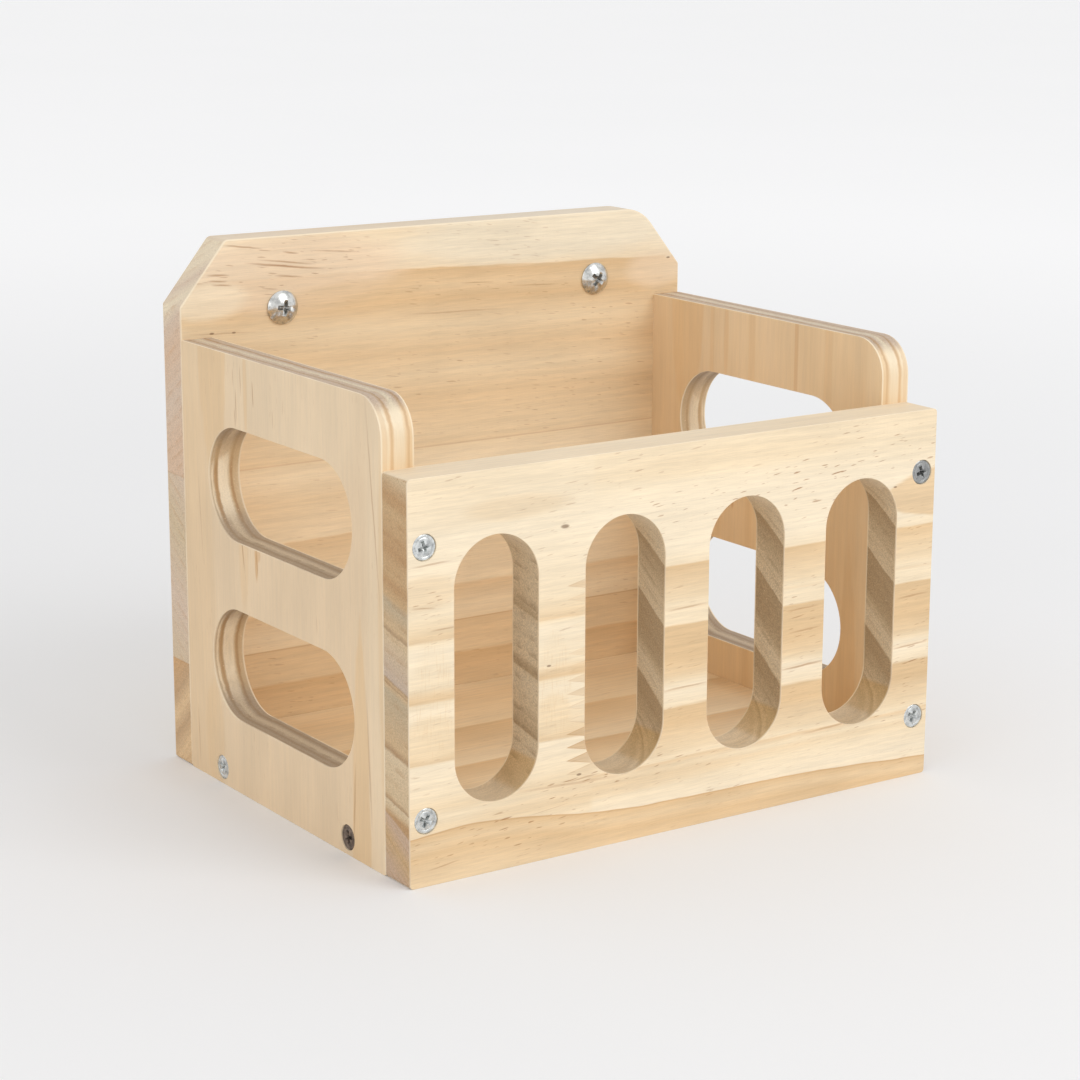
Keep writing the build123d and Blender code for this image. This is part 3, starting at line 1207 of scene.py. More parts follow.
def tidy_mesh(mesh: bpy.types.Mesh, smooth_angle: float = 35.0) -> None:
    """Merge doubles, turn every face outwards and set smooth shading with sharp corners.

    Args:
        mesh: The mesh to change.
        smooth_angle: The sharpest angle that is shaded smooth, in degrees.
    """
    work = bmesh.new()
    work.from_mesh(mesh)
    bmesh.ops.remove_doubles(work, verts=work.verts, dist=CLOSE)
    bmesh.ops.dissolve_degenerate(work, edges=work.edges, dist=CLOSE / 10)
    bmesh.ops.recalc_face_normals(work, faces=work.faces)
    work.to_mesh(mesh)
    work.free()
    mesh.shade_smooth()
    mesh.set_sharp_from_angle(angle=math.radians(smooth_angle))


def keep_shape(mesh: bpy.types.Mesh) -> None:
    """Store each point's place on the part's own axis, in millimetres, before the part is placed.

    Args:
        mesh: The mesh to change.
    """
    layer = mesh.attributes.new("shape", "FLOAT_VECTOR", "POINT")
    for vertex, item in zip(mesh.vertices, layer.data):
        item.vector = vertex.co / MM


def arc(
    middle: Sequence[float], radius: float, start: float, end: float, steps: int
) -> list[tuple[float, float]]:
    """Points of an arc about a middle, from one angle to another, in degrees."""
    angles = [math.radians(start + (end - start) * step / steps) for step in range(steps + 1)]
    return [(middle[0] + radius * math.cos(a), middle[1] + radius * math.sin(a)) for a in angles]


def rounded(corners: Sequence[tuple[float, float, float]], steps: int = 10) -> list[tuple[float, float]]:
    """A closed outline with its corners rounded.

    Args:
        corners: Each corner's two coordinates and its radius, anticlockwise.
        steps: How many edges each arc has.

    Returns:
        The outline's points.
    """
    points = []
    for number, (x, y, radius) in enumerate(corners):
        here = Vector((x, y))
        before = (Vector(corners[number - 1][:2]) - here).normalized()
        after = (Vector(corners[(number + 1) % len(corners)][:2]) - here).normalized()
        half = before.angle(after) / 2
        middle = here + (before + after).normalized() * (radius / math.sin(half))
        start = here + before * (radius / math.tan(half)) - middle
        end = here + after * (radius / math.tan(half)) - middle
        turn = start.angle_signed(end)
        for step in range(steps + 1):
            spoke = start.copy()
            spoke.rotate(Matrix.Rotation(-turn * step / steps, 2))
            points.append(tuple(middle + spoke))
    return points


def show(
    mesh: bpy.types.Mesh,
    name: str,
    material: bpy.types.Material,
    body: str,
    node: str,
    stands_in: bool = True,
) -> bpy.types.Object:
    """Show a finished mesh on a body.

    Args:
        mesh: The mesh, in the model's frame.
        name: The piece's name.
        material: Its finish.
        body: The body that it rides on.
        node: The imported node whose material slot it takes.
        stands_in: Whether it is shown in place of that node.

    Returns:
        The piece.
    """
    mesh.materials.clear()
    mesh.materials.append(material)
    piece = linked(name, mesh)
    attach(piece, body)
    if stands_in:
        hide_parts(node)
    LOG.info("%s: %d faces on %s", name, len(mesh.polygons), body)
    return piece


# ------------------------------------------------------------
# Boards
# ------------------------------------------------------------


class Plane(Enum):
    """The plane that a board's outline is drawn in, as the turn from XY to it."""

    FRONT = (90, 0, 0)
    SIDE = (90, 0, 90)
    FLAT = (0, 0, 0)

    @property
    def turn(self) -> Euler:
        """The turn as Euler angles."""
        return Euler([math.radians(angle) for angle in self.value])


@dataclass
class SlotRow:
    """A row of equal round-ended slots, in millimetres."""

    count: int
    upright: bool
    end_margin: float
    rib: float
    low_margin: float
    high_margin: float

    def layout(self, width: float, height: float) -> tuple[float, float, Vector, Vector]:
        """Work out the slots' size, the first one's middle and the step to the next.

        Args:
            width: The panel's width, with its outline starting at 0.
            height: The panel's height, with its outline starting at 0.

        Returns:
            The slots' width and height, the first middle and the step.
        """
        along = width if self.upright else height
        start = self.end_margin if self.upright else self.low_margin
        end = self.end_margin if self.upright else self.high_margin
        pitch_size = (along - start - end - (self.count - 1) * self.rib) / self.count
        first, step = start + pitch_size / 2, pitch_size + self.rib
        if self.upright:
            tall = height - self.low_margin - self.high_margin
            return pitch_size, tall, Vector((first, self.low_margin + tall / 2, 0)), Vector((step, 0, 0))
        long = width - 2 * self.end_margin
        return long, pitch_size, Vector((width / 2, first, 0)), Vector((0, step, 0))


@dataclass
class Board:
    """One board: an outline with rounded corners, a row of slots, eased rims and screw holes.

    Cuts are the corners that are cut off at a slant: how far along each edge, and the radius at each
    end of the cut. Radii are the corners that are rounded more than the rest.
    """

    node: str
    plane: Plane
    finish: PineFinish
    corner: float = 1.2
    cuts: dict[str, tuple[float, float, float, float]] = field(default_factory=dict)
    radii: dict[str, float] = field(default_factory=dict)
    slots: SlotRow | None = None
    eased: float = 0.8
    ease_steps: int = 3
    arc_steps: int = 20

    def outline(self, width: float, height: float) -> list[tuple[float, float]]:
        """The board's outline, in millimetres, anticlockwise from its lower left corner.

        Args:
            width: The board's width.
            height: The board's height.

        Returns:
            The outline's points.
        """
        corners: list[tuple[float, float, float]] = []
        for key, x, y in (
            ("lower_left", 0, 0), ("lower_right", width, 0), ("upper_right", width, height),
            ("upper_left", 0, height),
        ):
            if key in self.cuts:
                cut_x, cut_y, first, second = self.cuts[key]
                pair = [(x, y - cut_y, first), (x + cut_x, y, second)]
                corners += pair if key == "upper_right" else pair[::-1]
            else:
                corners.append((x, y, self.radii.get(key, self.corner)))
        return rounded(corners, 8)

    def build(self, tree: ShapeTree, holes: bpy.types.Object) -> bpy.types.Object:
        """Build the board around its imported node.

        Args:
            tree: The board tree.
            holes: The solid of every screw and bolt hole.

        Returns:
            The finished piece.
        """
        low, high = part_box(self.node)
        size = (high - low) / MM
        width, height, thick, place = {
            Plane.FRONT: (size.x, size.z, size.y, Vector((low.x, high.y, low.z))),
            Plane.SIDE: (size.y, size.z, size.x, low),
            Plane.FLAT: (size.x, size.y, size.z, low),
        }[self.plane]
        points = [(x * MM, y * MM, 0) for x, y in self.outline(width, height)]
        host = new_host(self.node, points, [(i, (i + 1) % len(points)) for i in range(len(points))])
        slot_width, slot_height, first, step = (
            self.slots.layout(width, height) if self.slots else (1.0, 1.0, Vector(), Vector())
        )
        material = self.finish.material()
        tree.run_on(
            host,
            {
                "Thickness": thick * MM,
                "Slot Count": self.slots.count if self.slots else 0,
                "Slot Width": slot_width * MM,
                "Slot Height": slot_height * MM,
                "First Slot": first * MM,
                "Slot Step": step * MM,
                "Arc Steps": self.arc_steps,
                "Turn": self.plane.turn,
                "Place": place,
                "Material": material,
            },
        )
        ease = host.modifiers.new("ease", "BEVEL")
        ease.width = self.eased * MM
        ease.segments = self.ease_steps
        ease.limit_method = "ANGLE"
        ease.angle_limit = math.radians(40)
        drill = host.modifiers.new("drill", "BOOLEAN")
        drill.object = holes
        drill.solver = "EXACT"
        mesh = evaluated_mesh(host, self.node)
        tidy_mesh(mesh, smooth_angle=50.0)
        mesh = self._weighted(mesh)
        return show(mesh, f"{self.node}_wood", material, "box", self.node)

    def _weighted(self, mesh: bpy.types.Mesh) -> bpy.types.Mesh:
        """Let the broad faces set the normals, so that they shade flat up to their eased rims.

        Args:
            mesh: The board's mesh, which is used up.

        Returns:
            The new mesh.
        """
        host = linked("weighting", mesh)
        weight = host.modifiers.new("weight", "WEIGHTED_NORMAL")
        weight.keep_sharp = True
        weight.weight = 100
        return evaluated_mesh(host, self.node)


# ------------------------------------------------------------
# Fasteners
# ------------------------------------------------------------


def cross_cutter(span: float, wing: float, depth: float, top: float) -> bpy.types.Object:
    """A tapered cross that cuts a driver recess, in millimetres, with its mouth at a height.

    Args:
        span: The cross's full width.
        wing: The width of one of its wings.
        depth: How deep it reaches below its mouth.
        top: The height of its mouth.

    Returns:
        The cutter.
    """
    outline = []
    for quarter in range(4):
        turn = Matrix.Rotation(math.radians(90 * quarter), 2)
        for x, y in ((span / 2, -wing / 2), (span / 2, wing / 2), (wing / 2, wing / 2)):
            outline.append(turn @ Vector((x, y)))
    levels = ((top + 0.6, 1.06), (top, 1.0), (top - depth * 0.75, 0.62), (top - depth, 0.2))
    work = bmesh.new()
    skin(work, [[work.verts.new((p.x * s * MM, p.y * s * MM, z * MM)) for p in outline] for z, s in levels])
    bmesh.ops.recalc_face_normals(work, faces=work.faces)
    return linked("recess", mesh_of(work, "recess"))


@dataclass
class Turned:
    """A part turned about Z from a profile of (radius, height, thread share), in millimetres."""

    name: str
    segments: int = 48
    pitch: float = 1.0
    thread_depth: float = 0.0

    def blank(
        self, tree: ShapeTree, profile: Sequence[tuple[float, float, float]], material: bpy.types.Material
    ) -> bpy.types.Mesh:
        """Turn the profile and return the closed mesh.

        Args:
            tree: The turned-part tree.
            profile: The profile's points.
            material: The finish.

        Returns:
            The mesh.
        """
        points = [(radius * MM, share, height * MM) for radius, height, share in profile]
        host = new_host(self.name, points, [])
        tree.run_on(
            host,
            {
                "Rows": len(points),
                "Segments": self.segments,
                "Pitch": self.pitch * MM,
                "Thread Depth": self.thread_depth * MM,
                "Material": material,
            },
        )
        mesh = evaluated_mesh(host, self.name)
        tidy_mesh(mesh)
        return mesh


def threaded(
    radius: float, start: float, end: float, pitch: float, share: float = 1.0
) -> list[tuple[float, float, float]]:
    """Profile points along a threaded length, ten for each turn, fading in and out at its ends.

    Args:
        radius: The radius over the thread.
        start: The height where the thread starts.
        end: The height where it ends.
        pitch: The thread's pitch.
        share: How deep the thread is cut.

    Returns:
        The points.
    """
    count = max(2, int(abs(end - start) / pitch * 10))
    rows = []
    for number in range(count + 1):
        place = number / count
        fade = min(1.0, place * count / 12, (1 - place) * count / 6)
        rows.append((radius, start + (end - start) * place, share * fade))
    return rows


def cut_from(mesh: bpy.types.Mesh, cutter: bpy.types.Object) -> bpy.types.Mesh:
    """The mesh less the cutter, which is removed.

    Args:
        mesh: The mesh to cut.
        cutter: The solid to take away.

    Returns:
        The cut mesh.
    """
    host = linked("blank", mesh)
    cut = host.modifiers.new("cut", "BOOLEAN")
    cut.object = cutter
    cut.solver = "EXACT"
    made = evaluated_mesh(host, mesh.name)
    bpy.data.objects.remove(cutter)
    tidy_mesh(made)
    return made


def placed(mesh: bpy.types.Mesh, point: Vector, outwards: Vector, turn: float) -> bpy.types.Mesh:
    """A copy of a part's mesh at a point, with its Z axis outwards and turned about it, in degrees.

    Args:
        mesh: The part's mesh, upright at the origin.
        point: Where its origin goes, in metres.
        outwards: Where its Z axis points.
        turn: Its turn about that axis.

    Returns:
        The placed copy.
    """
    made = mesh.copy()
    facing = outwards.to_track_quat("Z", "Y").to_matrix().to_4x4()
    made.transform(Matrix.Translation(point) @ facing @ Matrix.Rotation(math.radians(turn), 4, "Z"))
    return made


@dataclass
class WoodScrews:
    """The twelve countersunk wood screws."""

    head: float = 10.0
    rim: float = 0.5
    shank: float = 5.0
    length: float = 35.0
    point: float = 5.0
    pitch: float = 2.2
    thread_depth: float = 0.75
    recess: tuple[float, float, float] = (5.2, 1.5, 1.5)
    ring_share: float = 0.72
    ring_width: float = 0.6
    ring_depth: float = 0.17
    turns: tuple[float, ...] = (18.0, 62.0, 35.0, 80.0, 10.0, 51.0)
    clearance: float = 0.1
    plated: MetalFinish = MetalFinish(
        "zinc_plate", Tone.ZINC, Tone.ZINC_DARK, 0.25, clouds=0.7, dents=0.05, crown=0.0, sunk_shade=0.3
    )
    tarnished: MetalFinish = MetalFinish(
        "zinc_tarnished", Tone.TARNISH, Tone.NICKEL_DARK, 0.27, dents=0.06, crown=0.0, sunk_shade=0.45
    )
    browned: MetalFinish = MetalFinish(
        "bronze_plate", Tone.BRONZE, Tone.SOOT_AND_SHADE, 0.42, crown=0.0, sunk_shade=0.85
    )

    def places(self) -> list[tuple[str, Vector, Vector]]:
        """Each screw's node, its head's middle and the way that it faces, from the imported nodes.

        Returns:
            A row for each screw.
        """
        rows = []
        for side, sign in (("left", -1), ("right", 1)):
            for group, ends, outwards in (
                ("front", ("upper", "lower"), FRONTWARDS),
                ("rear", ("upper", "lower"), REARWARDS),
                ("floor", ("front", "rear"), Vector((sign, 0, 0))),
            ):
                for end in ends:
                    node = f"{group}_screw_{side}_{end}"
                    low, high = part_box(node)
                    middle = (low + high) / 2
                    half = (high - low) / 2
                    reach = abs(half.dot(outwards))
                    rows.append((node, middle + outwards * reach, outwards))
        return rows

    def profile(self, grow: float = 0.0, above: float = 0.0) -> list[tuple[float, float, float]]:
        """The screw's profile from its head's middle to its point.

        Args:
            grow: How much larger than the screw it is, for a hole.
            above: How far a hole reaches above the head.

        Returns:
            The profile's points.
        """
        head, shank = self.head / 2 + grow, self.shank / 2 + grow
        neck = -self.rim - (head - shank)
        if grow:
            return [(0, above, 0), (head, above, 0), (head, -self.rim, 0), (shank, neck, 0),
                    (shank, -self.length + self.point, 0), (0, -self.length - grow, 0)]
        ring, half = self.ring_share * head, self.ring_width / 2
        top = [(0, 0, 0), (ring - half, 0, 0), (ring, -self.ring_depth, 0), (ring + half, 0, 0)]
        top += [(head - 0.5, 0, 0), (head - 0.15, -0.14, 0), (head, -0.32, 0), (head, -self.rim, 0)]
        top += [(shank, neck, 0)]
        body = threaded(shank, neck - 1.0, -self.length + self.point, self.pitch)
        tip = [(shank * (1 - share) ** 0.8, -self.length + self.point * (1 - share), 0.8 * (1 - share))
               for share in (0.15, 0.3, 0.45, 0.6, 0.75, 0.88)]
        return top + body + tip + [(0, -self.length, 0)]

    def holes(self, tree: ShapeTree, material: bpy.types.Material) -> list[bpy.types.Mesh]:
        """The solids to drill, a little larger than the screws.

        Args:
            tree: The turned-part tree.
            material: The cutters' material.

        Returns:
            One mesh for each hole.
        """
        turned = Turned("screw_hole", segments=48)
        mesh = turned.blank(tree, self.profile(grow=self.clearance, above=1.0), material)
        return [placed(mesh, point, outwards, 0) for _, point, outwards in self.places()]

    def build(self, tree: ShapeTree) -> None:
        """Build every screw in its place.

        Args:
            tree: The turned-part tree.
        """
        zinc, grey, bronze = (finish.material() for finish in (self.plated, self.tarnished, self.browned))
        special = {"floor_screw_left_front": bronze, "front_screw_right_upper": grey}
        turned = Turned("wood_screw", 40, self.pitch, self.thread_depth)
        blank = turned.blank(tree, self.profile(), zinc)
        screw = cut_from(blank, cross_cutter(*self.recess, 0.0))
        keep_shape(screw)
        for number, (node, point, outwards) in enumerate(self.places()):
            turn = self.turns[number % len(self.turns)]
            finish = special.get(node, zinc)
            show(placed(screw, point, outwards, turn), f"{node}_metal", finish, "box", node)


@dataclass
class Clamp:
    """One cage clamp: a domed bolt with a large washer and a wing nut."""

    side: str
    bolt_turn: float
    nut_turn: float
    rod: float = 6.0
    head: float = 14.0
    head_height: float = 3.4
    head_rim: float = 0.7
    length: float = 40.0
    neck: float = 2.0
    tip: float = 0.8
    pitch: float = 1.0
    thread_depth: float = 0.55
    recess: tuple[float, float, float] = (8.0, 2.0, 1.9)
    hole_clearance: float = 0.25
    seat_gap: float = 0.03
    hub: tuple[tuple[float, float], ...] = (
        (0, 8.0), (4.9, 8.0), (5.5, 7.5), (6.5, 0.7), (6.3, 0.25), (6.0, 0), (0, 0)
    )
    wing_middle: tuple[float, float] = (8.0, 8.5)
    lobe: tuple[float, float] = (11.0, 11.5)
    lobe_radius: float = 5.5
    voxel: float = 0.32
    bore_clearance: float = 0.05
    nickel: MetalFinish = MetalFinish(
        "nickel_plate", Tone.NICKEL, Tone.NICKEL_DARK, 0.22, 0.1, 0.05, 0.5, dents=0.06, crown=3.4,
        ball=10.4, sunk_shade=0.5
    )
    zinc: MetalFinish = MetalFinish("washer_zinc", Tone.ZINC, Tone.ZINC_DARK, 0.34, 0.8, 0.2, 0.4)
    cast: MetalFinish = MetalFinish("cast_zinc", Tone.ZINC, Tone.ZINC_DARK, 0.42, 0.0, 0.5, 0.6)

    def middle(self) -> Vector:
        """The bolt's axis where it leaves its head."""
        low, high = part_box(f"{self.side}_mounting_bolt")
        return Vector(((low.x + high.x) / 2, high.y - self.length * MM, (low.z + high.z) / 2))

    def hole(self, tree: ShapeTree, material: bpy.types.Material) -> bpy.types.Mesh:
        """The solid to drill through the back board.

        Args:
            tree: The turned-part tree.
            material: The cutter's material.

        Returns:
            The hole's mesh.
        """
        radius = self.rod / 2 + self.hole_clearance
        bar = [(0, 2, 0), (radius, 2, 0), (radius, -self.length, 0), (0, -self.length, 0)]
        mesh = Turned("bolt_hole", segments=40).blank(tree, bar, material)
        return placed(mesh, self.middle(), FRONTWARDS, 0)

    def bolt(self, tree: ShapeTree) -> None:
        """The domed bolt, its head above Z = 0.

        Args:
            tree: The turned-part tree.
        """
        rim, rise = self.head / 2, self.head_height - self.head_rim
        ball = (rim**2 + rise**2) / (2 * rise)
        half = math.asin(rim / ball)
        dome = []
        for step in range(13):
            angle = half * step / 12
            dome.append((ball * math.sin(angle), self.head_height - ball * (1 - math.cos(angle)), 0))
        under = [(rim - 0.02, 0.2, 0), (rim - 0.2, 0, 0), (self.rod / 2, 0, 0)]
        body = threaded(self.rod / 2, -self.neck, -self.length + self.tip, self.pitch)
        tip = [(self.rod / 2 - self.tip, -self.length, 0), (0, -self.length, 0)]
        finish = self.nickel.material()
        turned = Turned(f"{self.side}_bolt", 64, self.pitch, self.thread_depth)
        blank = turned.blank(tree, dome + under + body + tip, finish)
        mesh = cut_from(blank, cross_cutter(*self.recess, self.head_height))
        keep_shape(mesh)
        mesh = placed(mesh, self.middle(), FRONTWARDS, self.bolt_turn)
        node = f"{self.side}_mounting_bolt"
        show(mesh, f"{node}_metal", finish, "box", node)

    def washer(self, tree: ShapeTree) -> None:
        """The large washer, slightly rounded at its rims.

        Args:
            tree: The turned-part tree.
        """
        node = f"{self.side}_fender_washer"
        low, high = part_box(node)
        outer, thick, bore = (high.x - low.x) / MM / 2, (high.y - low.y) / MM, self.rod / 2 + 0.2
        rim, lip, ring = 0.35, 0.25, []
        for x, y, radius, start in (
            (outer - rim, thick - rim, rim, 90),
            (outer - rim, self.seat_gap + rim, rim, 0),
            (bore + lip, self.seat_gap + lip, lip, 270),
            (bore + lip, thick - lip, lip, 180),
        ):
            ring += [(r, z, 0) for r, z in arc((x, y), radius, start, start - 90, 4)]
        finish = self.zinc.material()
        mesh = Turned(f"{self.side}_washer", segments=96).blank(tree, ring + ring[:1], finish)
        keep_shape(mesh)
        point = Vector(((low.x + high.x) / 2, low.y, (low.z + high.z) / 2))
        mesh = placed(mesh, point, REARWARDS, 0)
        show(mesh, f"{node}_metal", finish, f"{self.side}_washer", node)

    def wing_nut(self, tree: ShapeTree) -> None:
        """The cast wing nut: a hub with two rounded wings, blended together and bored.

        Args:
            tree: The turned-part tree.
        """
        node = f"{self.side}_wing_nut"
        finish = self.cast.material()
        profile = [(radius, height, 0) for radius, height in self.hub]
        body = Turned("hub", segments=64).blank(tree, profile, finish)
        work = bmesh.new()
        work.from_mesh(body)
        for sign in (-1, 1):
            self._wing(work, sign)
        work.to_mesh(body)
        work.free()
        host = linked("nut", body)
        blend = host.modifiers.new("blend", "REMESH")
        blend.mode = "VOXEL"
        blend.voxel_size = self.voxel * MM
        soft = host.modifiers.new("soft", "SMOOTH")
        soft.factor, soft.iterations = 0.5, 5
        bore_radius = self.rod / 2 + self.bore_clearance
        bore_points = [(0, 12, 0), (bore_radius, 12, 0), (bore_radius, -3, 0), (0, -3, 0)]
        bore = linked("bore", Turned("bore", segments=48).blank(tree, bore_points, finish))
        cut = host.modifiers.new("bore", "BOOLEAN")
        cut.object, cut.solver = bore, "EXACT"
        mesh = evaluated_mesh(host, node)
        bpy.data.objects.remove(bore)
        tidy_mesh(mesh, smooth_angle=50.0)
        keep_shape(mesh)
        mesh = placed(mesh, self._nut_seat(node), REARWARDS, self.nut_turn)
        show(mesh, f"{node}_metal", finish, f"{self.side}_nut", node)

    def _nut_seat(self, node: str) -> Vector:
        """The middle of the wing nut's lower face."""
        low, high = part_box(node)
        return Vector((self.middle().x, low.y, self.middle().z))

    def _wing(self, work: bmesh.types.BMesh, sign: int) -> None:
        """Add one wing to a mesh: a flat plate with a round lobe, thicker at its foot.

        Args:
            work: The mesh to add to.
            sign: 1 for the wing towards X, and -1 for the other.
        """
        lobe = arc(self.lobe, self.lobe_radius, -50, 130, 14)
        rim = [(1.5, 0.6), (6.2, 0.6), *lobe, (3.0, 7.6), (1.5, 7.6)]
        middle = Vector(self.wing_middle)
        loops = []
        for face, narrow in ((-1.0, 0.6), (-1.35, 0.0), (1.35, 0.0), (1.0, 0.6)):
            ring = []
            for x, z in rim:
                point = Vector((x, z))
                point -= (point - middle).normalized() * narrow
                ring.append(work.verts.new((sign * point.x * MM, face * MM, point.y * MM)))
            loops.append(ring)
        skin(work, loops)
        faces = {face for ring in loops for point in ring for face in point.link_faces}
        bmesh.ops.recalc_face_normals(work, faces=list(faces))

    def build(self, tree: ShapeTree) -> None:
        """Build the bolt, the washer and the wing nut.

        Args:
            tree: The turned-part tree.
        """
        self.bolt(tree)
        self.washer(tree)
        self.wing_nut(tree)


# ------------------------------------------------------------
# The box's boards and their timber
# ------------------------------------------------------------


@dataclass
class FeederBox:
    """The five boards, each with the timber that it was glued up from. Heights are millimetres."""

    front_slots: SlotRow = field(default_factory=lambda: SlotRow(4, True, 19.5, 21.0, 27.5, 24.5))
    side_slots: SlotRow = field(default_factory=lambda: SlotRow(2, False, 21.5, 28.0, 31.0, 29.0))
    fingers: tuple[tuple[float, float], ...] = (
        (-164, 0.0), (-157, 0.35), (-153, 1.0), (-143, 1.0), (-139, 0.75), (-135, 0.1), (-131, 0.45),
        (-122, 0.3), (-118, 0.05), (-98, 0.05), (-92, 0.2), (-87, 0.1), (-84, 0.45), (-81, 0.25),
        (-79, 0.0),
    )
    corner_cut: tuple[float, float] = (21.0, 26.0)

    def front(self) -> Board:
        """The front panel: pale above, banded below, with a finger joint beside its second slot.

        Returns:
            The board.
        """
        right = Timber(
            lean=-0.75,
            rings=5.6,
            ring_share=0.2,
            seed=2.0,
            bands=(
                (-190, Tone.CREAM), (-176, Tone.PALE), (-169, Tone.CREAM), (-165, Tone.STRAW),
                (-163, Tone.CREAM), (-160.4, Tone.WHEAT), (-159.6, Tone.CREAM), (-157, Tone.STRAW),
                (-150, Tone.WHEAT), (-146, Tone.HONEY), (-139.8, Tone.HONEY), (-139.2, Tone.CREAM),
                (-133.2, Tone.PALE), (-132.7, Tone.WHEAT), (-132.2, Tone.PALE), (-128.5, Tone.STRAW),
                (-126, Tone.WHEAT), (-120, Tone.HONEY), (-107.0, Tone.HONEY), (-106.4, Tone.CREAM),
                (-100.2, Tone.CREAM), (-99.7, Tone.WHEAT), (-99.2, Tone.CREAM), (-96, Tone.STRAW),
                (-89, Tone.WHEAT), (-83.0, Tone.HONEY), (-82.4, Tone.CREAM), (-76, Tone.PALE),
                (-58, Tone.PALE), (-46, Tone.CREAM), (-10, Tone.STRAW),
            ),
        )
        left = Timber(
            lean=-0.22,
            rings=-6.2,
            seed=5.0,
            bands=(
                (-176, Tone.CREAM), (-168, Tone.STRAW), (-164, Tone.CREAM), (-160, Tone.STRAW),
                (-155, Tone.CREAM), (-143.2, Tone.PALE), (-142.5, Tone.WHEAT), (-137, Tone.STRAW),
                (-130, Tone.CREAM), (-122, Tone.PALE), (-119.1, Tone.CREAM), (-118.5, Tone.HONEY),
                (-116.2, Tone.WHEAT), (-113, Tone.CREAM), (-99, Tone.PALE), (-96.4, Tone.CREAM),
                (-95.7, Tone.WHEAT), (-92, Tone.STRAW), (-87, Tone.CREAM), (-60, Tone.PALE),
                (-35, Tone.CREAM),
            ),
            ends=(
                (-176, Tone.DUSK), (-167, Tone.CARAMEL), (-164.5, Tone.STRAW), (-162, Tone.CREAM),
                (-161.5, Tone.DUSK), (-160, Tone.STRAW), (-143.4, Tone.CREAM), (-142.4, Tone.DUSK),
                (-139, Tone.WHEAT), (-120, Tone.DRIFT), (-117.6, Tone.WHEAT), (-117.2, Tone.DUSK),
                (-116.4, Tone.WHEAT), (-115.6, Tone.DUSK), (-114.8, Tone.ASH), (-97.2, Tone.STRAW),
                (-96.6, Tone.DUSK), (-94.5, Tone.WHEAT), (-86, Tone.DRIFT), (-83.6, Tone.HONEY),
                (-78, Tone.CARAMEL), (-74, Tone.HONEY), (-66, Tone.CARAMEL), (-52, Tone.HONEY),
                (-46, Tone.CARAMEL), (-38, Tone.STRAW),
            ),
        )
        foot = Timber(
            lean=-0.2,
            rings=3.0,
            seed=11.0,
            bands=(
                (-22, Tone.STRAW), (-14, Tone.WHEAT), (-8, Tone.HONEY), (-4, Tone.WHEAT),
                (-1.2, Tone.HONEY), (2, Tone.CARAMEL),
            ),
            ends=((-22, Tone.BLUSH), (-12, Tone.HONEY), (-5, Tone.BLUSH), (-1, Tone.BLUSH), (2, Tone.DUSK)),
        )
        wave = (
            (-125, -170.6), (-100, -167.8), (-72, -170.8), (-50, -174.2), (-20, -177.0), (45, -177.4),
            (80, -178.5), (125, -182.4),
        )
        finish = PineFinish(
            "pine_front", "X", "Z", "Y", -191.0, 1.0, 18.0, left,
            finger_joint=FingerJoint(right, -55.5, self.fingers),
            glue_lines=(GlueLine(foot, wave, lean=0.4, follows=True),),
            stains=(
                Stain(136, -70, 36, 10.5, Tone.HONEY, 0.8, 0.12),
                Stain(-78, -51, 22, 4.5, Tone.WHEAT, 0.4, 0.6),
                Stain(-108, -47, 26, 9, Tone.STRAW, 0.2, 0.6),
                Stain(-119, -78, 16, 6, Tone.WHEAT, 0.45, 0.6),
                Stain(-115, -133, 14, 8, Tone.STRAW, 0.7, 0.4),
                Stain(-62, -133, 8, 8, Tone.STRAW, 0.7, 0.4),
                Stain(-30, -166, 60, 4, Tone.WHEAT, 0.4, 0.7),
                Stain(20, -44, 60, 5, Tone.STRAW, 0.45, 0.7),
            ),
            knots=(
                Knot(-57, -61, 0.9), Knot(-64, -113.5, 0.45), Knot(104, -65.5, 0.4), Knot(-50, -158.5, 0.5),
            ),
            crowds=(
                Crowd(95, -48, 45, 12, 0.6), Crowd(40, -62, 60, 14, 0.8), Crowd(-60, -52, 30, 12, 0.5),
                Crowd(-85, -176, 48, 7, 0.9), Crowd(95, -158, 40, 9, 0.9), Crowd(-30, -164, 55, 7, 0.9),
                Crowd(58, -110, 12, 30, 0.5), Crowd(116, -115, 12, 40, 0.5), Crowd(-115, -88, 14, 12, 0.7),
            ),
            streaks=(
                Streak((-124, -67.8), (-106, -67.3)), Streak((-124, -83.0), (-113, -84.0)),
                Streak((-116, -92.5), (-104, -92.0)), Streak((-12, -132.4), (12, -131.6)),
                Streak((46, -133.2), (70, -132.2), 0.5, 0.75),
                Streak((104, -133.6), (125, -132.6), 0.5, 0.7), Streak((48, -109.4), (66, -108.8)),
                Streak((50, -118.4), (68, -117.6)), Streak((106, -112.5), (124, -111.7)),
                Streak((-10, -100.6), (10, -99.8)), Streak((-118, -183.5), (-103, -181.8), 0.4, 0.5),
                Streak((-78, -160.5), (-30, -162.5), 0.7, 0.4),
                Streak((58, -161.5), (88, -160.3), 0.6, 0.5), Streak((-56, -160.8), (-40, -159.6)),
            ),
            planed=(Spot(-115, -119, 9, 24), Spot(-61, -122, 7.5, 22)),
            # the slot walls' tone is painted shade, and their darker late wood is partly painted shade
            walls=Walls(0, -111, 121, 62, Tone.SLOT_GREY, 0.25, 0.1, 0.25, 0.08, Tone.OCHRE, 0.55, -143),
            dash_tilt=0.10,
            dashes=0.75,
            edge_share=0.3,
        )
        return Board("front_panel", Plane.FRONT, finish, corner=1.6, slots=self.front_slots)

